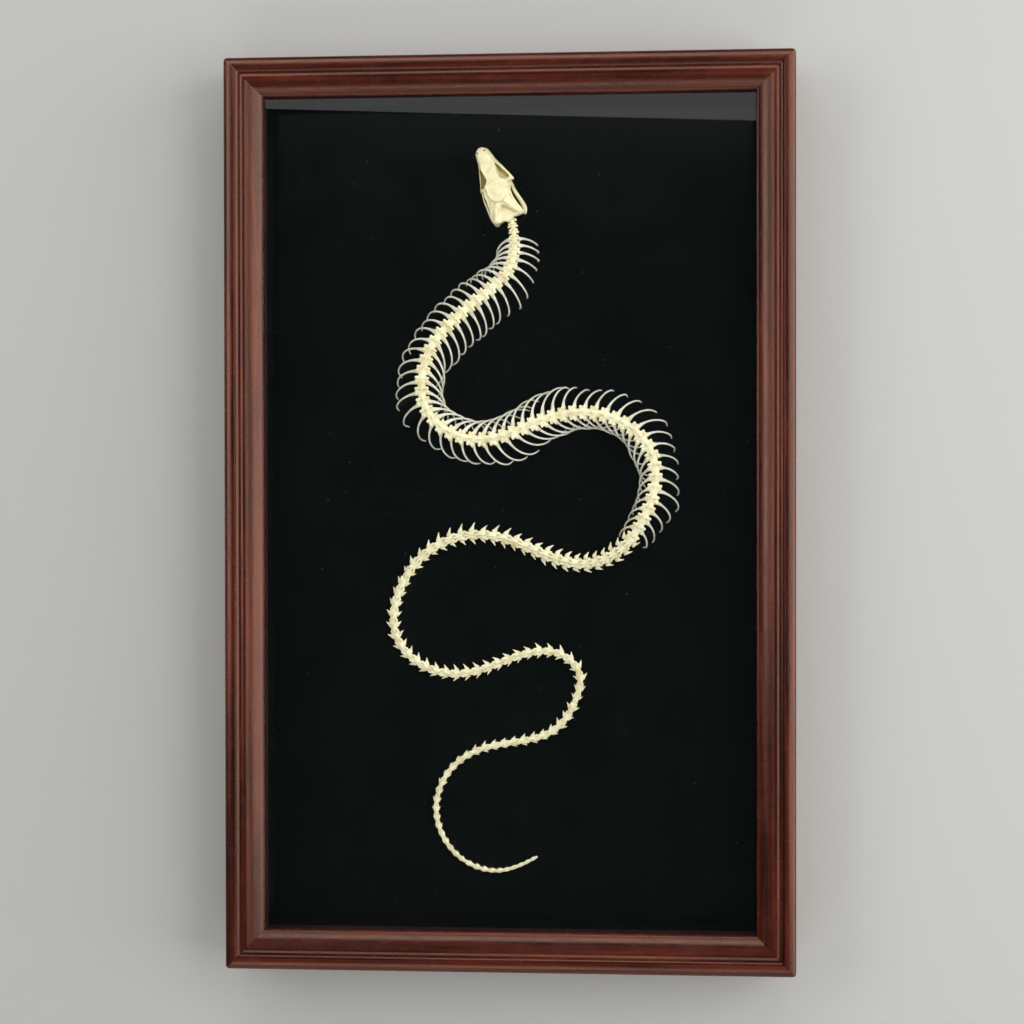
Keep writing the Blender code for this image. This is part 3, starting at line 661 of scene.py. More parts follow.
@dataclass
class WallCase:
    """The moulded frame, its glass, the black board and what holds it all."""

    width: float = 344.0
    height: float = 552.0
    depth: float = 45.0
    rail_width: float = 23.0
    rebate: float = 15.0
    lip_back: float = 33.8
    sight_face: float = 37.4
    corner_radius: float = 3.0
    joint: float = 0.16
    origin_height: float = 268.5
    hanger_offset: float = 110.0
    hanger_pocket: tuple[float, float, float] = (46.6, 4.0, 8.6)

    def profile(self) -> Points:
        """Outline a rail's section: distance in from the outer side, and distance out from the wall."""
        top = self.depth
        crown = arc((6, top - 3), 6, 180, 90, 14)
        shoulder = [(inwards, top - 3 + (outwards - top + 3) / 2) for inwards, outwards in crown]
        cove = [(6.9, top - 0.4), (7.2, top - 1.1), (7.8, top - 1.85), (8.6, top - 2.35), (9.5, top - 2.55)]
        bead = [
            (10.3, top - 2.45), (11.0, top - 2.25), (11.7, top - 2.12), (12.4, top - 2.2), (13.1, top - 2.45)
        ]
        slope = [
            (13.8, top - 2.75), (14.8, top - 3.15), (16, top - 3.55), (17.2, top - 4.0), (18.3, top - 4.5),
            (19.2, top - 5.0),
        ]
        end = [(20.5, top - 5.9), (21.8, top - 6.9), (22.4, top - 7.5), (22.75, self.sight_face + 0.05)]
        lip = [(self.rail_width, self.sight_face - 0.25), (self.rail_width, self.lip_back)]
        back = [
            (self.rebate, self.lip_back), (self.rebate, 0.3), (self.rebate - 0.3, 0.0), (0.4, 0.0), (0.0, 0.4)
        ]
        return [*back, *shoulder, *cove, *bead, *slope, *end, *lip]

    def rounded(self, across: float, up: float) -> tuple[float, float]:
        """Keep a place on the case's face inside the rounded outer corners.

        Args:
            across: Distance to the right of the middle.
            up: Distance above the middle.

        Returns:
            The place, moved in where a corner is rounded off.
        """
        radius = self.corner_radius
        over = radius - (self.width / 2 - abs(across))
        above = radius - (self.height / 2 - abs(up))
        reach = math.hypot(over, above)
        if over <= 0 or above <= 0 or reach <= radius:
            return across, up
        share = radius / reach
        across_in = math.copysign(self.width / 2 - radius + over * share, across)
        return across_in, math.copysign(self.height / 2 - radius + above * share, up)

    def rail(self, name: str, quarter: int) -> bpy.types.Mesh:
        """Build one mitred rail.

        Args:
            name: Its mesh's name.
            quarter: Which side it is, in quarter turns from the left one.

        Returns:
            The rail's mesh, in place.
        """
        upright = quarter % 2 == 0
        length = self.height if upright else self.width
        half = self.width / 2 if upright else self.height / 2
        near = [0.0, 0.4, 0.9, 1.5, 2.3, 3.5, 6.0]
        inner = length / 2 - near[-1]
        steps = round(2 * inner / 9.0)
        middle = [-inner + 2 * inner * step / steps for step in range(1, steps)]
        first = [value - length / 2 for value in near]
        stations = first + middle + [length / 2 - value for value in reversed(near)]
        turn = Matrix.Rotation(quarter * math.pi / 2, 2)
        rings = []
        for station in stations:
            ring = []
            for inwards, outwards in self.profile():
                shrink = 1 - 2 * (inwards + self.joint / 2) / length
                flat = turn @ Vector((-half + inwards, -station * shrink))
                across, up = self.rounded(*flat)
                ring.append(Vector((across, -outwards, up - self.origin_height)) * MM)
            rings.append(ring)
        return loft(name, rings)

    def cut_pockets(self, mesh: bpy.types.Mesh) -> bpy.types.Mesh:
        """Sink both hangers' pockets into the back of the top rail.

        Args:
            mesh: The top rail.

        Returns:
            The rail with its pockets.
        """
        tools = bmesh.new()
        wide, deep, high = self.hanger_pocket
        level = self.height / 2 - self.rebate / 2 - self.origin_height
        for side in Side:
            spot = Matrix.Translation(Vector((side.value * self.hanger_offset, 0.0, level)) * MM)
            size = Matrix.Diagonal((wide * MM, 2 * deep * MM, high * MM, 1.0))
            bmesh.ops.create_cube(tools, size=1.0, matrix=spot @ size)
        return cut_away(mesh, tools)

    def build(self, frame: dict) -> None:
        """Build and dress the case.
        """
        names = ("frame_left", "frame_bottom", "frame_right", "frame_top")
        woods = {grain: Mahogany(grain).build() for grain in Grain}
        for quarter, name in enumerate(names):
            mesh = self.rail(name, quarter)
            if name == "frame_top":
                mesh = self.cut_pockets(mesh)
            grain = Grain.UPRIGHT if quarter % 2 == 0 else Grain.LEVEL
            piece = add_piece("moulding_" + name.split("_")[1], mesh, woods[grain], (name,))
            soften(piece)
            LOG.info("%s: %d faces", piece.name, len(mesh.polygons))
        self.dress(frame["nodes"])

    def dress(self, nodes: dict) -> None:
        """Give the carried-over solids their finishes.

        Args:
            nodes: The frame's solids by name.
        """
        black = Sheet("black_board", srgb(3, 6, 6), srgb(6, 9, 9), 40.0, 0.14, sheen=0.3, specks=95.0)
        panel = Sheet("hardboard", srgb(86, 56, 34), srgb(128, 88, 55), 420.0, 0.75, depth=0.15 * MM)
        steel = Sheet("plated_steel", srgb(120, 118, 112), srgb(176, 174, 166), 500.0, 0.38, metallic=1.0)
        lining = Sheet("stained_lining", srgb(26, 10, 8), srgb(48, 19, 14), 160.0, 0.5)
        finishes = {
            "mount_board": black, "back_panel": panel, "spacer": lining, "point": steel, "hanger": steel
        }
        made = {key: finish.build() for key, finish in finishes.items()}
        made["glass"] = Glazing().build()
        for name, node in nodes.items():
            for key, finish in made.items():
                if name.startswith(key):
                    node.data.materials.clear()
                    node.data.materials.append(finish)
                    LOG.info("%s dressed as %s", name, finish.name)
        nodes["glass"].visible_shadow = False


def soften(piece: bpy.types.Object) -> None:
    """Shade a piece smooth but keep its sharp edges.

    Args:
        piece: The piece.
    """
    mesh = piece.data
    mesh.set_sharp_from_angle(angle=math.radians(40))


def cut_away(mesh: bpy.types.Mesh, tools: bmesh.types.BMesh) -> bpy.types.Mesh:
    """Cut closed forms out of a closed mesh.

    Args:
        mesh: The mesh that is cut.
        tools: The forms that are cut away; it is used up.

    Returns:
        The cut mesh.
    """
    tool_mesh = bpy.data.meshes.new("cutters")
    tools.to_mesh(tool_mesh)
    tools.free()
    cutter = bpy.data.objects.new("cutters", tool_mesh)
    target = bpy.data.objects.new(mesh.name, mesh)
    for item in (cutter, target):
        bpy.context.scene.collection.objects.link(item)
    modifier = target.modifiers.new("cut", "BOOLEAN")
    modifier.operation = "DIFFERENCE"
    modifier.solver = "EXACT"
    modifier.use_self = True
    modifier.object = cutter
    result = settle_modifiers(target)
    bpy.data.objects.remove(cutter)
    bpy.data.meshes.remove(tool_mesh)
    return result


# Distances along the backbone in mm, each with its value there
PITCH: Pairs = (
    (0, 3.6), (20, 4.1), (30, 4.8), (45, 5.5), (80, 6.0), (120, 6.4), (240, 6.4), (260, 6.7), (345, 6.6),
    (362, 6.0), (385, 6.3), (410, 6.8), (520, 6.75), (650, 6.6), (720, 6.3), (790, 5.7), (840, 5.1),
    (895, 4.3),
)
COLUMN_HEIGHT: Pairs = (
    (0, 11.6), (45, 15.0), (325, 15.0), (385, 4.7), (560, 3.9), (760, 2.95), (850, 2.3), (900, 1.75),
)
TRUNK_SCALE: Pairs = ((0, 0.8), (60, 1.05), (330, 1.05), (375, 0.92))
TAIL_SCALE: Pairs = (
    (345, 1.5), (400, 1.45), (435, 1.28), (480, 1.24), (560, 1.06), (700, 0.92), (800, 0.7), (850, 0.55),
    (900, 0.38),
)
COLUMN_SHIFT: Pairs = ((110, 0), (140, -0.3), (160, -1.6), (185, -1.1), (240, -0.9), (300, 0))
PROCESS_REACH: Pairs = (
    (352, 6.9), (400, 7.1), (470, 6.8), (510, 5.4), (640, 5.2), (690, 4.4), (740, 4.0), (790, 3.1),
    (850, 2.2), (898, 1.2),
)
TIP_WIDTH: Pairs = ((352, 2.3), (385, 1.8), (430, 1.1), (470, 1.0))
RIB_REACH = {
    Side.LEFT: (
        (12, 12), (25, 14), (60, 15), (95, 13.5), (108, 16), (130, 18.5), (142, 14), (165, 15), (190, 17),
        (204, 13.5), (240, 11), (265, 11), (278, 14.5), (298, 10.5), (320, 9), (350, 7),
    ),
    Side.RIGHT: (
        (12, 13), (18, 15), (28, 16), (38, 19), (48, 17), (66, 18.5), (85, 18.5), (95, 15), (125, 13.5),
        (155, 11.5), (175, 12.5), (225, 14.5), (235, 13.5), (270, 17), (290, 14.5), (304, 13.5),
        (314, 17), (326, 13), (350, 9),
    ),
}
RIB_SWEEP = {
    Side.LEFT: ((12, 11), (35, 11), (52, 9), (80, 12), (110, 12), (130, 9), (150, 14), (185, 15), (205, 20),
                (280, 20), (300, 14), (350, 8)),
    Side.RIGHT: (
        (12, 3), (25, 2.5), (36, 5), (55, 10), (68, 8.5), (85, 15), (96, 22), (190, 22), (212, 18),
        (230, 10), (255, 8), (270, 12), (300, 7), (318, 11), (335, 9), (350, 4),
    ),
}
RIB_TURN = {
    Side.LEFT: ((12, 112), (95, 122), (125, 105), (150, 115), (195, 112), (205, 122), (350, 118)),
    Side.RIGHT: (
        (12, 80), (40, 92), (55, 108), (90, 112), (120, 124), (190, 124), (215, 108), (240, 90),
        (300, 94), (316, 112), (350, 90),
    ),
}


@dataclass
class Backbone:
    """The smooth middle line of the backbone over the board; all sizes in mm."""

    route: Pairs = (
        (1, 180.5), (3, 166), (0, 149), (-9.5, 138.5), (-29.5, 122), (-48, 101), (-53.5, 77), (-51, 65),
        (-36.5, 51.5), (-14.5, 46.5), (16, 56.5), (50, 62), (73, 53), (87, 34), (87.5, 13), (80, -5.5),
        (69, -20.5), (48, -30.5), (27, -27.5), (0, -16.5), (-28, -13.5), (-52.5, -24.5), (-69, -48),
        (-71, -75), (-49, -96), (-27, -98), (6, -87), (30.5, -86.5), (42, -98.5), (40.5, -112),
        (27.5, -132), (-3.5, -141.5), (-25.5, -148), (-40, -161), (-46.5, -183), (-32, -212), (-7, -220),
        (15.5, -211.5),
    )
    step: float = 0.25
    start: float = 1.2
    board_front: float = 8.9
    origin_height: float = 268.5

    def __post_init__(self) -> None:
        """Work out the smooth line."""
        points = np.array(self.route, dtype=float)
        stations = np.concatenate(([0.0], np.cumsum(np.hypot(*np.diff(points, axis=0).T))))
        samples = np.arange(0.0, stations[-1], self.step)
        self.across = spline_values(stations, points[:, 0], samples)
        self.up = spline_values(stations, points[:, 1], samples)
        self.along = np.concatenate(([0.0], np.cumsum(np.hypot(np.diff(self.across), np.diff(self.up)))))
        self.length = float(self.along[-1])

    def point(self, along: float | np.ndarray) -> np.ndarray:
        """Give places on the middle line, as across and up."""
        across = np.interp(along, self.along, self.across)
        return np.stack((across, np.interp(along, self.along, self.up)), axis=-1)

    def tailward(self, along: float | np.ndarray) -> np.ndarray:
        """Give the way the tail lies, as across and up."""
        way = self.point(np.minimum(along + 1.0, self.length)) - self.point(np.maximum(along - 1.0, 0.0))
        return way / np.linalg.norm(way, axis=-1, keepdims=True)

    def place(self, along: np.ndarray, side: np.ndarray, rise: np.ndarray) -> np.ndarray:
        """Turn places beside and above the column into places in the frame.

        Args:
            along: Distances from the head end of the backbone.
            side: Distances to the animal's right.
            rise: Distances off the board, from the middle of the column.

        Returns:
            The places, in metres.
        """
        way = self.tailward(along)
        beyond = (along - np.clip(along, 0.0, self.length))[..., None]
        right = np.stack((-way[..., 1], way[..., 0]), axis=-1)
        flat = self.point(along) + right * np.asarray(side)[..., None] + way * beyond
        depth = -(self.board_front + read_curve(COLUMN_HEIGHT, along) + rise)
        return np.stack((flat[..., 0], depth, flat[..., 1] - self.origin_height), axis=-1) * MM

    def marks(self) -> list[float]:
        """List where each vertebra starts, and where the last one ends."""
        found = [self.start]
        while found[-1] < self.length - 2:
            found.append(found[-1] + float(read_curve(PITCH, found[-1])))
        found[-1] = self.length
        return found


def trunk_template(name: str, draw: random.Random, pitch: float) -> bpy.types.Mesh:
    """Model one trunk vertebra, its front at y = 0 and its rear at y = -pitch, in mm.

    Args:
        name: The mesh's name.
        draw: Where small differences are drawn from.
        pitch: Its length.

    Returns:
        The vertebra's mesh.
    """
    clay = Clay(name)
    vary = draw.uniform(0.93, 1.07)
    rear = -pitch
    clay.bar([(0, 0.2, -0.6), (0, -3.3, -0.5), (0, rear + 0.5, -0.6)], [2.2, 1.7, 2.1], 0.85)
    clay.ball((0, rear * 0.5, 0.8), (2.3, 3.2, 1.5))
    clay.ball((0, rear * 0.79, 1.4), (3.1 * vary, 1.6, 1.25))
    clay.ball((0, -0.7, 0.9), (3.0, 1.6, 1.2))
    clay.bar([(0, -3.0, 2.1), (0, rear + 1.6, 2.6), (0, rear + 0.2, 3.1 * vary)], [0.3, 0.45, 0.6], 1.3)
    clay.bar_pair([(1.8, 0.7, 1.0), (3.2 * vary, -0.4, 1.2), (3.4, -1.5, 0.9)], [0.75, 1.1, 0.9], 0.7)
    clay.ball_pair((3.0 * vary, rear + 1.25, 1.7), (1.35, 1.0, 0.95), 12)
    clay.bar_pair([(1.2, rear + 2.2, 1.8), (2.6, rear + 0.9, 2.1)], [0.8, 0.8], 0.65)
    clay.bar_pair([(2.0, -1.5, 0.0), (3.9, -1.5, -0.1)], [1.2, 1.05])
    clay.ball_pair((4.2 * vary, -1.45, 0.0), (0.9, 1.05, 1.15))
    return clay.blended(0.21, 2, 0.42)


def tail_template(name: str, draw: random.Random, pitch: float, reach: float) -> bpy.types.Mesh:
    """Model one tail vertebra, its front at y = 0 and its rear at y = -pitch, in mm.

    Args:
        name: The mesh's name.
        draw: Where small differences are drawn from.
        pitch: Its length.
        reach: How far its side processes stand out.

    Returns:
        The vertebra's mesh.
    """
    clay = Clay(name)
    vary = draw.uniform(0.93, 1.07)
    rear = -pitch
    clay.bar(
        [(0, 0.1, -0.4), (0, -2.6, -0.3), (0, rear + 1.3, -0.3), (0, rear + 0.3, -0.4)],
        [2.0, 2.2, 1.5, 1.8],
        0.85,
    )
    clay.ball((0, -2.5, 0.6), (2.4, 2.0, 1.4))
    clay.bar([(0, -1.6, 1.6), (0, -4.2, 2.2), (0, rear - 0.4, 3.0 * vary)], [0.4, 0.5, 0.5], 1.2)
    clay.bar_pair([(1.0, -2.2, 1.1), (1.6, -0.7, 1.35), (1.9, 0.1, 1.5)], [0.9, 0.8, 0.6], 0.8)
    clay.bar_pair([(0.8, -3.9, 1.2), (1.2, rear + 1.0, 1.6), (1.4, rear, 1.7)], [0.8, 0.7, 0.55], 0.8)
    front = [
        (1.0, -2.8, 0.0), (2.4, -2.7, 0.1), (3.5, -2.3, 0.2), (reach - 1.5, -1.7, 0.2), (reach, -0.9, 0.3)
    ]
    clay.bar_pair(front, [2.0, 1.65, 1.0, 0.55, 0.32], 0.55)
    clay.bar([(0, rear + 1.4, -1.6), (0, rear + 0.4, -2.7), (0, rear - 0.9, -3.5)], [0.9, 0.6, 0.4], 1.2)
    return clay.blended(0.21, 3, 0.42)


@dataclass
class Column:
    """All vertebrae, from the neck to the tail tip."""

    spine: Backbone
    neck_count: int = 3
    trunk_lengths: tuple[int, ...] = (14, 14, 13, 14)
    cloaca_count: int = 3
    tail_breaks: tuple[float, ...] = (506, 690, 847)
    variants: int = 3
    trunk_pitch: float = 6.4
    tail_pitch: float = 6.7
    template_reach: float = 6.5
    template_half_width: float = 2.4
    tail_lean: float = 0.25
    process_share: float = 0.88
    break_gap: float = 1.5
    process_middle: float = -1.7
    neck_narrowing: float = 0.8

    def build(self, bone: bpy.types.Material) -> None:
        """Build every vertebra in its place.

        Args:
            bone: The material.
        """
        marks = self.spine.marks()
        draw = random.Random(3)
        trunk = [trunk_template(f"trunk_{index}", draw, self.trunk_pitch) for index in range(self.variants)]
        tail = [
            tail_template(f"tail_{index}", draw, self.tail_pitch, self.template_reach)
            for index in range(self.variants)
        ]
        first = self.neck_count
        for index in range(first):
            mesh = self.trunk_copy(trunk[index % self.variants], marks, index, self.neck_narrowing)
            add_piece(f"neck_vertebra_{index + 1}", mesh, bone, ("neck",))
        for length, count in enumerate(self.trunk_lengths, 1):
            nodes = tuple(f"trunk_{length}_{side.word}" for side in Side)
            for index in range(first, first + count):
                mesh = self.trunk_copy(trunk[index % self.variants], marks, index)
                add_piece(f"trunk_vertebra_{index + 1}", mesh, bone, nodes)
            first += count
        tail_first = first + self.cloaca_count
        breaks = [
            min(range(len(marks)), key=lambda spot: abs(marks[spot] - place)) for place in self.tail_breaks
        ]
        bounds = [first, tail_first, *breaks, len(marks) - 1]
        names = ["cloaca"] + [f"tail_{index + 1}" for index in range(len(breaks) + 1)]
        jitter = random.Random(11)
        for node, begin, end in zip(names, bounds, bounds[1:]):
            for index in range(begin, end):
                gap = self.break_gap if index + 1 in breaks else 0.0
                mesh = self.tail_copy(tail[index % self.variants], marks, index, jitter, gap)
                add_piece(f"{node}_vertebra_{index + 1}", mesh, bone, (node,))
        LOG.info("%d vertebrae", len(marks) - 1)
        for template in (*trunk, *tail):
            bpy.data.meshes.remove(template)

    def trunk_copy(
        self, template: bpy.types.Mesh, marks: list[float], index: int, narrowing: float = 1.0
    ) -> bpy.types.Mesh:
        """Bend a trunk vertebra into its place.

        Args:
            template: The vertebra in its own frame.
            marks: Where each vertebra starts.
            index: Which one it is.
            narrowing: How much narrower it is than one of the trunk.

        Returns:
            The vertebra's mesh.
        """
        start, end = marks[index], marks[index + 1]
        size = float(read_curve(TRUNK_SCALE, start))
        points = read_points(template)
        along = start - points[:, 1] * (end - start) / self.trunk_pitch
        across = points[:, 0] * size * narrowing + read_curve(COLUMN_SHIFT, along)
        placed = self.spine.place(along, across, points[:, 2] * size)
        return moved_copy(template, placed)

    def tail_copy(
        self, template: bpy.types.Mesh, marks: list[float], index: int, jitter: random.Random, gap: float
    ) -> bpy.types.Mesh:
        """Bend a tail vertebra into its place and draw its side processes out to their reach.

        Args:
            template: The vertebra in its own frame.
            marks: Where each vertebra starts.
            index: Which one it is.
            jitter: Where small differences in reach are drawn from.
            gap: How much shorter it is, where the next one stands off.

        Returns:
            The vertebra's mesh.
        """
        start, end = marks[index], marks[index + 1] - gap
        scale = float(read_curve(TAIL_SCALE, start))
        reach = float(read_curve(PROCESS_REACH, start)) * jitter.uniform(0.88, 1.1)
        points = read_points(template)
        wide = 2.8 * scale
        process = max(reach * self.process_share, wide * 1.1)
        lift = self.tail_lean * float(self.spine.tailward(start)[0])
        side = np.sign(points[:, 0])
        reaches = wide + (process - wide) * (1 + side * lift)
        inner = self.template_half_width
        out = np.abs(points[:, 0])
        beyond = np.maximum(out - inner, 0.0) / (self.template_reach - inner)
        across = side * (np.minimum(out, inner) * scale + beyond * (reaches - inner * scale))
        widening = 1 + (float(read_curve(TIP_WIDTH, start)) - 1) * np.minimum(beyond * 2, 1)
        lengthwise = (points[:, 1] - self.process_middle) * widening + self.process_middle
        along = start - lengthwise * (end - start) / self.tail_pitch
        return moved_copy(template, self.spine.place(along, across, points[:, 2] * scale))


def read_points(mesh: bpy.types.Mesh) -> np.ndarray:
    """Read a mesh's vertices as rows of x, y and z."""
    points = np.empty(len(mesh.vertices) * 3)
    mesh.vertices.foreach_get("co", points)
    return points.reshape(-1, 3)


def moved_copy(mesh: bpy.types.Mesh, points: np.ndarray) -> bpy.types.Mesh:
    """Copy a mesh with its vertices in other places.

    Args:
        mesh: The mesh.
        points: Its new vertices.

    Returns:
        The copy.
    """
    made = mesh.copy()
    made.vertices.foreach_set("co", points.astype(np.float32).ravel())
    made.update()
    return made


@dataclass
class Ribs:
    """The ribs of both sides, each a little unlike its neighbours."""

    spine: Backbone
    first: int = 3
    trunk_lengths: tuple[int, ...] = (14, 14, 13, 14)
    root_inset: float = 2.2
    root_behind: float = 1.6
    root_rise: float = 0.1
    drop_turn: float = 112.0
    floor: float = 0.5
    tip_kink: float = 1.8
    forward: float = 1.4
    steps: int = 26
    sides: int = 8
    thickness: Pairs = (
        (0, 1.4), (0.08, 1.3), (0.17, 1.0), (0.27, 0.7), (0.4, 0.59), (0.6, 0.55), (0.93, 0.48),
        (1, 0.34),
    )

    def path(
        self, start: float, side: Side, reach: float, sweep: float, turn: float, kink: float
    ) -> list[Vector]:
        """List points along one rib, curving out, back and down to the board.

        Args:
            start: Where its vertebra starts.
            side: Which side it is on.
            reach: How far out it goes.
            sweep: How far back it goes.
            turn: How far it curls round, in degrees.
            kink: How far its tip turns in.

        Returns:
            The points, in metres.
        """
        along = start + self.root_behind
        spine = self.spine
        base, way = spine.point(along), spine.tailward(along)
        right = np.array((-way[1], way[0]))
        height = float(read_curve(COLUMN_HEIGHT, along))
        drop = height + self.root_rise - self.floor
        full_turn, full_drop = math.radians(turn), math.radians(self.drop_turn)
        widest = math.sin(min(full_turn, math.pi / 2))
        points = []
        for step in range(self.steps + 1):
            share = step / self.steps
            out = self.root_inset + (reach - self.root_inset) * math.sin(full_turn * share**1.15) / widest
            out -= kink * max(share - 0.88, 0.0) / 0.12
            back = sweep * share**1.5 - self.forward * math.sin(math.pi * share) * (1 - share)
            rise = self.root_rise - drop * (1 - math.cos(full_drop * share)) / (1 - math.cos(full_drop))
            flat = base + right * side.value * out + way * back
            place = (flat[0], -(spine.board_front + height + rise), flat[1] - spine.origin_height)
            points.append(Vector(place) * MM)
        return points

    def build(self, bone: bpy.types.Material) -> None:
        """Build every rib.

        Args:
            bone: The material.
        """
        marks = self.spine.marks()
        draw = random.Random(7)
        radii = [float(read_curve(self.thickness, step / self.steps)) * MM for step in range(self.steps + 1)]
        first = self.first
        for length, count in enumerate(self.trunk_lengths, 1):
            for side in Side:
                for index in range(first, first + count):
                    start = marks[index]
                    reach = float(read_curve(RIB_REACH[side], start)) * draw.uniform(0.95, 1.05)
                    sweep = float(read_curve(RIB_SWEEP[side], start)) * draw.uniform(0.9, 1.1)
                    turn = float(read_curve(RIB_TURN[side], start))
                    path = self.path(start, side, reach, sweep, turn, self.tip_kink * draw.random() ** 2)
                    rings = tube_rings(path, radii, self.sides, 0.9, Vector((0.0, -1.0, 0.0)))
                    mesh = loft("rib", rings)
                    add_piece(
                        f"rib_{side.word}_{index + 1}", mesh, bone, (f"trunk_{length}_{side.word}",)
                    )
            first += count
        LOG.info("%d pairs of ribs", first - self.first)


def smooth_ring(points: list[tuple[float, ...]], fineness: int) -> Ring:
    """Round a closed outline with a smooth curve through its points.

    Args:
        points: The outline's points.
        fineness: How many points stand between one and the next.

    Returns:
        The finer outline.
    """
    corners = [Vector(point) for point in points]
    count = len(corners)
    ring = []
    for index in range(count):
        before, start, end, after = (corners[(index + shift) % count] for shift in (-1, 0, 1, 2))
        for step in range(fineness):
            share = step / fineness
            line = (end - before) * share + (2 * before - 5 * start + 4 * end - after) * share**2
            ring.append(start + 0.5 * (line + (3 * start - before - 3 * end + after) * share**3))
    return ring


@dataclass
class Skull:
    """The skull and the lower jaw, modelled from the snout backwards; sizes in mm."""

    snout: tuple[float, float] = (-18.1, 223.6)
    turn: float = 23.3
    roll: float = 8.5
    height: float = 6.8
    board_front: float = 8.9
    origin_height: float = 268.5
    voxel: float = 0.26
    # How far the rays reach that measure the painted shade, in mm.
    painted_shade_reach: float = 7.0
    sections: tuple[tuple[float, ...], ...] = (
        (0.0, 1.3, 0.8, 3.4, 1.4, 1.2), (1.4, 3.2, 1.9, 4.8, 0.8, 0.8), (4.0, 4.5, 2.6, 6.0, 0.3, 0.8),
        (9.5, 5.5, 3.3, 7.4, 0.0, 1.2), (14.0, 6.7, 4.2, 8.6, 0.0, 1.8), (19.0, 8.1, 4.6, 9.6, 0.0, 2.2),
        (24.5, 9.8, 5.3, 10.3, 0.0, 2.4), (28.0, 8.7, 5.6, 10.5, 0.8, 2.2), (32.0, 7.8, 5.6, 10.4, 2.2, 2.0),
        (37.0, 7.9, 5.8, 10.0, 2.6, 1.8), (42.0, 8.8, 6.8, 9.5, 1.4, 1.8), (46.0, 9.4, 7.8, 8.6, 0.4, 2.0),
        (47.6, 8.9, 8.0, 7.6, 0.6, 2.2),
    )
    jaw: tuple[tuple[float, ...], ...] = (
        (47.8, 8.8, 0.9, 1.8, -0.8), (45.6, 9.9, 1.4, 3.2, -0.6), (40.0, 10.2, 1.4, 4.2, 0.2),
        (33.0, 9.0, 1.2, 5.2, 1.0), (28.0, 8.6, 1.0, 5.6, 0.2), (24.0, 8.4, 1.1, 4.6, -0.5),
        (18.0, 7.1, 1.1, 3.6, -0.5), (10.0, 4.9, 1.1, 2.8, -0.5), (4.5, 3.3, 1.1, 2.4, -0.3),
        (2.2, 1.4, 1.1, 2.2, 0.0),
    )
    bend: Pairs = ((0, 0), (10, 0.5), (20, 0.9), (26, 0.5), (31, -0.4), (40, -0.3), (48, 0))

    def frame(self) -> Matrix:
        """Give the skull's frame in metres: x to the animal's right, y to the snout, z off the board."""
        turn, roll = math.radians(self.turn), math.radians(self.roll)
        forward = Vector((-math.sin(turn), 0.0, math.cos(turn)))
        up = Vector((0.0, -1.0, 0.0))
        right = Vector((math.cos(turn), 0.0, math.sin(turn)))
        rolled_up = up * math.cos(roll) - right * math.sin(roll)
        rolled_right = right * math.cos(roll) + up * math.sin(roll)
        placed = Matrix((rolled_right, forward, rolled_up)).transposed().to_4x4()
        spot = (self.snout[0], -(self.board_front + self.height), self.snout[1] - self.origin_height)
        placed.translation = Vector(spot) * MM
        return placed @ Matrix.Scale(MM, 4)

    def section(self, back: float, values: np.ndarray) -> Ring:
        """Outline the skull across.

        Args:
            back: Distance back from the snout.
            values: Half width, half width of the roof, top, bottom and keel.

        Returns:
            The outline.
        """
        half_width, roof, top, bottom, keel = values
        side = (
            (roof, top), (roof + (half_width - roof) * 0.6, top * 0.78), (half_width, top * 0.45),
            (half_width * 0.97, bottom), (half_width * 0.72, bottom + 0.3), (half_width * 0.36, keel + 0.2),
        )
        outline = [(0.0, top + 0.25), *side, (0.0, keel), *[(-out, rise) for out, rise in reversed(side)]]
        return smooth_ring([(out, -back, rise) for out, rise in outline], 4)

    def cranium(self) -> bpy.types.Mesh:
        """Model the closed form of the skull with its raised parts, in mm."""
        table = np.array(self.sections)
        backs = np.linspace(table[0, 0], table[-1, 0], 84)
        columns = [spline_values(table[:, 0], table[:, index], backs) for index in range(1, 6)]
        rings = [self.section(back, values) for back, values in zip(backs, np.array(columns).T)]
        clay = Clay("cranium")
        form = loft("form", rings)
        clay.forms.from_mesh(form)
        bpy.data.meshes.remove(form)
        plate = [(5.2, -23.8), (5.6, -28.0), (5.0, -32.2), (3.0, -35.2), (0.0, -36.2)]
        clay.prism([*plate, *[(-out, forward) for out, forward in reversed(plate[:-1])]], 8.0, 11.7)
        clay.ball((0, -29.5, 10.2), (5.2, 6.4, 1.75))
        brow = [(3.6, -11.5, 7.9), (4.3, -15.0, 8.8), (4.3, -21.4, 9.8), (6.0, -25.2, 10.1)]
        clay.bar_pair(brow, [0.5, 0.6, 0.65, 0.85])
        clay.bar_pair([(5.4, -25.5, 10.1), (7.8, -26.2, 8.8), (9.6, -25.6, 5.4)], [0.95, 1.0, 1.0])
        arch_line = [(7.4, -26.6, 9.0), (7.3, -32.0, 9.2), (7.9, -39.0, 8.6), (8.9, -45.2, 7.0)]
        clay.bar_pair(arch_line, [0.9, 0.75, 0.8, 1.0])
        cheek = [(5.0, -10.0, 2.2), (6.7, -14.4, 2.6), (8.3, -19.0, 3.1)]
        clay.bar([*cheek, (10.9, -25.6, 4.0)], [0.75, 0.75, 0.75, 1.0])
        clay.bar(
            [*[(-out, forward, rise) for out, forward, rise in cheek], (-9.7, -24.6, 4.0)],
            [0.75, 0.75, 0.75, 0.9],
        )
        clay.bar_pair([(2.6, -37.0, 10.7), (5.0, -41.0, 10.5), (7.7, -45.8, 8.9)], [0.9, 1.0, 0.95], 0.9)
        clay.bar_pair([(8.9, -45.6, 7.2), (9.4, -46.9, 1.2)], [1.15, 1.2])
        clay.bar(
            [(-9.5, -24.8, 4.4), (-9.3, -30.0, 6.2), (-9.6, -38.0, 6.4), (-9.6, -45.0, 5.6)],
            [0.9, 0.65, 0.7, 1.1],
        )
        return clay.blended(self.voxel, 2, 1.0)

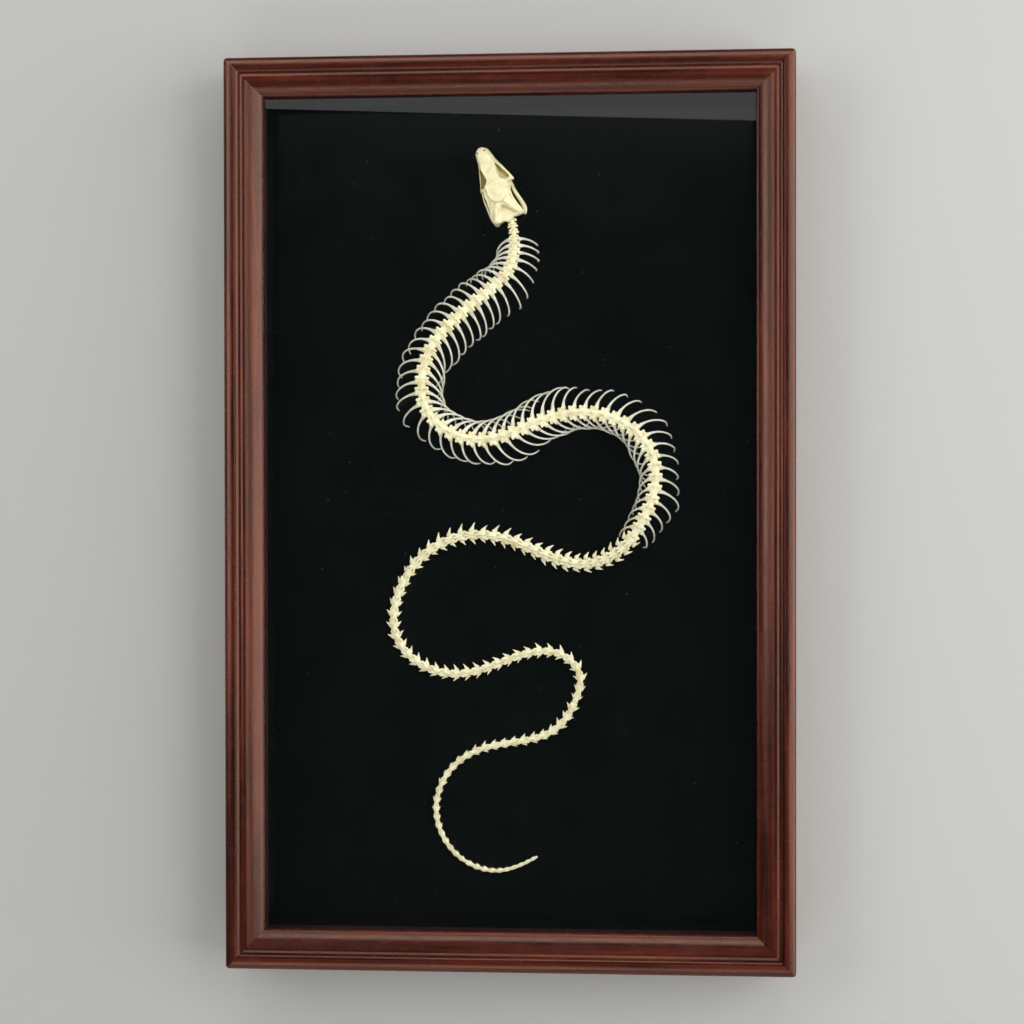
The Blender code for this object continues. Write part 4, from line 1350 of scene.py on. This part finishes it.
    def hollows(self) -> bmesh.types.BMesh:
        """Model everything that is cut out of the skull, in mm."""
        cutters = Clay("hollows")
        orbit = [
            (4.6, -12.0), (4.0, -17.0), (3.8, -21.8), (6.6, -24.7), (9.8, -24.5), (9.6, -22.6), (7.6, -18.4),
            (5.8, -13.8),
        ]
        cutters.prism_pair(orbit, 2.3, 14.0, 0.85)
        cutters.ball_pair((6.9, -35.6, 10.8), (0.32, 4.6, 2.6), 7)
        cutters.ball((9.5, -34.5, 5.4), (2.5, 7.4, 3.6), 1)
        cutters.ball((-8.3, -33.5, 8.0), (0.55, 6.4, 4.0), 3)
        cutters.bar([(5.9, -25.4, 11.9), (5.8, -29.0, 11.5), (4.6, -33.6, 11.0), (0.0, -37.0, 10.9),
                     (-4.6, -33.6, 11.0), (-5.8, -29.0, 11.5)], [0.25, 0.35, 0.45, 0.5, 0.45, 0.35])
        cutters.ball_pair((2.4, -2.9, 4.6), (0.6, 2.2, 1.5), -40)
        notch = [(0.6, -37.8), (3.7, -41.4), (6.6, -46.2), (6.8, -53.0)]
        cutters.prism([*notch, *[(-out, forward) for out, forward in reversed(notch)]], 8.0, 15.0, 0.85)
        cutters.ball((0.0, -50.8, 4.8), (5.4, 4.6, 3.7), 12)
        cutters.ball((0.0, -36.0, -1.4), (5.6, 13.0, 4.6))
        return cutters.forms

    def occiput(self, clay: Clay) -> None:
        """Add the parts that stand in the hind notch.

        Args:
            clay: Where they are added.
        """
        clay.ball((0, -44.5, 6.7), (4.6, 4.6, 1.6))
        clay.ball((0.4, -47.2, 3.6), (1.6, 1.3, 1.3))

    def bent(self, mesh: bpy.types.Mesh) -> None:
        """Lean the skull a little to one side along its length.

        Args:
            mesh: The skull, in mm.
        """
        points = read_points(mesh)
        points[:, 0] += read_curve(self.bend, -points[:, 1])
        mesh.vertices.foreach_set("co", points.astype(np.float32).ravel())

    def paint_shade_attribute(self, mesh: bpy.types.Mesh) -> None:
        """Mark how hidden each vertex is by the bone round it, for the painted shade in the hollows.

        Args:
            mesh: The skull's mesh, in mm.
        """
        bm = bmesh.new()
        bm.from_mesh(mesh)
        bm.normal_update()
        tree = BVHTree.FromBMesh(bm)
        draw = random.Random(5)
        ways = [
            Vector((draw.gauss(0, 1), draw.gauss(0, 1), draw.gauss(0, 1))).normalized() for _ in range(14)
        ]
        hidden = []
        for vert in bm.verts:
            start = vert.co + vert.normal * 0.05
            rays = [way if way.dot(vert.normal) > 0 else -way for way in ways]
            hits = sum(tree.ray_cast(start, ray, self.painted_shade_reach)[0] is not None for ray in rays)
            hidden.append(hits / len(rays))
        bm.free()
        attribute = mesh.attributes.new("painted_shade", "FLOAT", "POINT")
        attribute.data.foreach_set("value", hidden)

    def jaw_mesh(self) -> bpy.types.Mesh:
        """Model both branches of the lower jaw as one bent bar, in mm."""
        stations = [(-1, *row) for row in self.jaw] + [(1, *row) for row in reversed(self.jaw)]
        rows = np.array(
            [(side * out, -back, thick, deep, top) for side, back, out, thick, deep, top in stations]
        )
        steps = np.hypot(np.diff(rows[:, 0]), np.diff(rows[:, 1]))
        places = np.concatenate(([0.0], np.cumsum(steps)))
        samples = np.linspace(0.0, places[-1], 130)
        fine = np.array([spline_values(places, rows[:, index], samples) for index in range(5)]).T
        rings = []
        for index, (out, forward, thick, deep, top) in enumerate(fine):
            before, after = fine[max(index - 1, 0)], fine[min(index + 1, len(fine) - 1)]
            way = Vector((after[0] - before[0], after[1] - before[1], 0.0)).normalized()
            across = way.cross(Vector((0.0, 0.0, 1.0)))
            corners = (
                (0.8, top), (1.1, top - deep * 0.55), (0.3, top - deep), (-0.7, top - deep * 0.7), (-0.7, top)
            )
            middle = Vector((out, forward, 0.0))
            ring = [middle + across * thick * sideways + Vector((0, 0, rise)) for sideways, rise in corners]
            rings.append(smooth_ring(ring, 4))
        return loft("lower_jaw", rings)

    def build(self, bone: bpy.types.Material) -> None:
        """Build the skull and the lower jaw.

        Args:
            bone: The material.
        """
        clay = Clay("skull")
        clay.forms.from_mesh(cut_away(self.cranium(), self.hollows()))
        self.occiput(clay)
        skull = clay.blended(self.voxel, 2, 0.7)
        self.bent(skull)
        # Painted shade: rays measure how hidden each vertex is, and the bone material darkens it there.
        self.paint_shade_attribute(skull)
        jaw = self.jaw_mesh()
        self.paint_shade_attribute(jaw)
        for name, mesh in (("skull", skull), ("lower_jaw", jaw)):
            mesh.transform(self.frame())
            piece = add_piece(name + "_bone", mesh, bone, (name,))
            LOG.info("%s: %d faces", piece.name, len(mesh.polygons))


@dataclass(frozen=True)
class Lamp:
    """A soft lamp; metres, watts and degrees. The roll lifts its left end."""

    name: str
    place: tuple[float, ...]
    power: float
    size: tuple[float, float]
    target: tuple[float, ...] = (0.0, 0.0, -0.27)
    roll: float = 0.0


@dataclass
class Studio:
    """The wall, the floor, the lights and the camera."""

    wall_size: tuple[float, float] = (5.0, 3.0)
    wall_gap: float = 0.0005
    floor_level: float = -1.55
    floor_depth: float = 2.4
    world_light: float = 0.03
    camera_place: tuple[float, float, float] = (0.0900, -1.243, -0.2570)
    world_colour: tuple[float, ...] = (0.85, 1.0, 0.95, 1.0)
    lamps: tuple[Lamp, ...] = (
        Lamp("right", (1.25, -1.35, -0.1), 14.5, (1.2, 1.7)),
        Lamp("side", (1.3, -0.42, -0.2), 8.0, (0.6, 1.5)),
        Lamp("left", (-1.3, -1.25, 0.15), 9.0, (0.8, 1.4)),
        Lamp("top", (0.0, -1.15, 1.05), 10.0, (1.8, 0.7)),
        Lamp("low", (-0.2, -1.3, -1.45), 3.5, (1.6, 0.4)),
        Lamp("far lamp", (-0.145, -2.0, 0.411), 0.31, (1.3, 0.13), (-0.145, 0.0, -0.27), 2.2),
        Lamp("rear", (0.9, 2.0, 0.8), 48.0, (1.2, 1.2)),
    )
    camera_turn: float = -4.157
    camera_rise: float = -0.494
    camera_roll: float = -0.081
    focal_pixels: float = 2006.7
    picture_pixels: float = 1024.0
    sensor: float = 36.0

    def plane(
        self, name: str, corners: tuple[tuple[float, float, float], ...], finish: bpy.types.Material
    ) -> bpy.types.Object:
        """Add a flat part of the room.

        Args:
            name: Its name.
            corners: Its corners, in order.
            finish: Its material.

        Returns:
            The plane.
        """
        mesh = bpy.data.meshes.new(name)
        mesh.from_pydata(corners, [], [tuple(range(len(corners)))])
        mesh.materials.append(finish)
        piece = bpy.data.objects.new(name, mesh)
        bpy.context.scene.collection.objects.link(piece)
        return piece

    def room(self) -> None:
        """Build the pale wall, seen from in front only, and the pale floor."""
        pale = srgb(206, 206, 202)
        graph = Graph("wall_paint")
        graph.done(Base_Color=(*pale, 1.0), Roughness=0.9)
        facing = graph.node("NewGeometry").outputs["Backfacing"]
        clear = graph.node("BsdfTransparent").outputs["BSDF"]
        either = graph.node("MixShader", Fac=facing)
        graph.feed(either.inputs[1], graph.shader.outputs["BSDF"])
        graph.feed(either.inputs[2], clear)
        graph.feed(graph.tree.nodes["Material Output"].inputs["Surface"], either.outputs["Shader"])
        half, rise = self.wall_size[0] / 2, self.wall_size[1]
        low = self.floor_level
        wall = ((-half, self.wall_gap, low), (half, self.wall_gap, low))
        corners = (*wall, (half, self.wall_gap, low + rise), (-half, self.wall_gap, low + rise))
        self.plane("wall", corners, graph.material).visible_shadow = False
        floor_finish = Graph("floor_paint").done(Base_Color=(*pale, 1.0), Roughness=0.85)
        near = ((-half, -self.floor_depth, low), (half, -self.floor_depth, low))
        self.plane("floor", (*near, *reversed(wall)), floor_finish)

    def light(self, lamp: Lamp) -> None:
        """Hang a soft lamp.

        Args:
            lamp: The lamp's place, power, size and aim.
        """
        source = bpy.data.lights.new(lamp.name, "AREA")
        source.shape = "RECTANGLE"
        source.size, source.size_y = lamp.size
        source.energy = lamp.power
        holder = bpy.data.objects.new(lamp.name, source)
        holder.location = lamp.place
        facing = (Vector(lamp.target) - Vector(lamp.place)).to_track_quat("-Z", "Y")
        holder.rotation_euler = (facing @ Quaternion((0.0, 0.0, 1.0), math.radians(-lamp.roll))).to_euler()
        bpy.context.scene.collection.objects.link(holder)

    def camera(self) -> None:
        """Set the camera that the photograph was taken with."""
        angles = (self.camera_turn, self.camera_rise, self.camera_roll)
        turn, rise, roll = (math.radians(angle) for angle in angles)
        level = math.cos(rise)
        forward = Vector((math.sin(turn) * level, math.cos(turn) * level, math.sin(rise)))
        right = forward.cross(Vector((0.0, 0.0, 1.0))).normalized()
        up = right.cross(forward)
        rolled_right = right * math.cos(roll) + up * math.sin(roll)
        rolled_up = up * math.cos(roll) - right * math.sin(roll)
        lens = bpy.data.cameras.new("camera")
        lens.sensor_width = self.sensor
        lens.lens = self.focal_pixels / self.picture_pixels * self.sensor
        lens.clip_start = 0.01
        holder = bpy.data.objects.new("camera", lens)
        placed = Matrix((rolled_right, rolled_up, -forward)).transposed().to_4x4()
        placed.translation = Vector(self.camera_place)
        holder.matrix_world = placed
        bpy.context.scene.collection.objects.link(holder)
        bpy.context.scene.camera = holder

    def build(self) -> None:
        """Build the room, light it and set the camera."""
        self.room()
        for lamp in self.lamps:
            self.light(lamp)
        world = bpy.data.worlds.new("world")
        world.use_nodes = True
        background = world.node_tree.nodes["Background"]
        background.inputs["Color"].default_value = self.world_colour
        background.inputs["Strength"].default_value = self.world_light
        bpy.context.scene.world = world
        bpy.context.scene.view_settings.view_transform = "Standard"
        self.camera()


def main() -> None:
    """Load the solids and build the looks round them."""
    logging.basicConfig(level=logging.INFO, format="%(name)s: %(message)s")
    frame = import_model()
    spine = Backbone()
    bone = Bone().build()
    rib_bone = Bone("rib_bone", srgb(226, 224, 212), srgb(218, 214, 194), srgb(206, 198, 168)).build()
    # The skull's bone darkens its hollows with painted shade.
    skull_bone = Bone(
        "skull_bone", srgb(240, 232, 192), srgb(236, 225, 180), srgb(226, 211, 164), painted_shade_share=0.85
    ).build()
    WallCase().build(frame)
    Column(spine).build(bone)
    Ribs(spine).build(rib_bone)
    Skull().build(skull_bone)
    Studio().build()


if __name__ == "__main__":
    main()
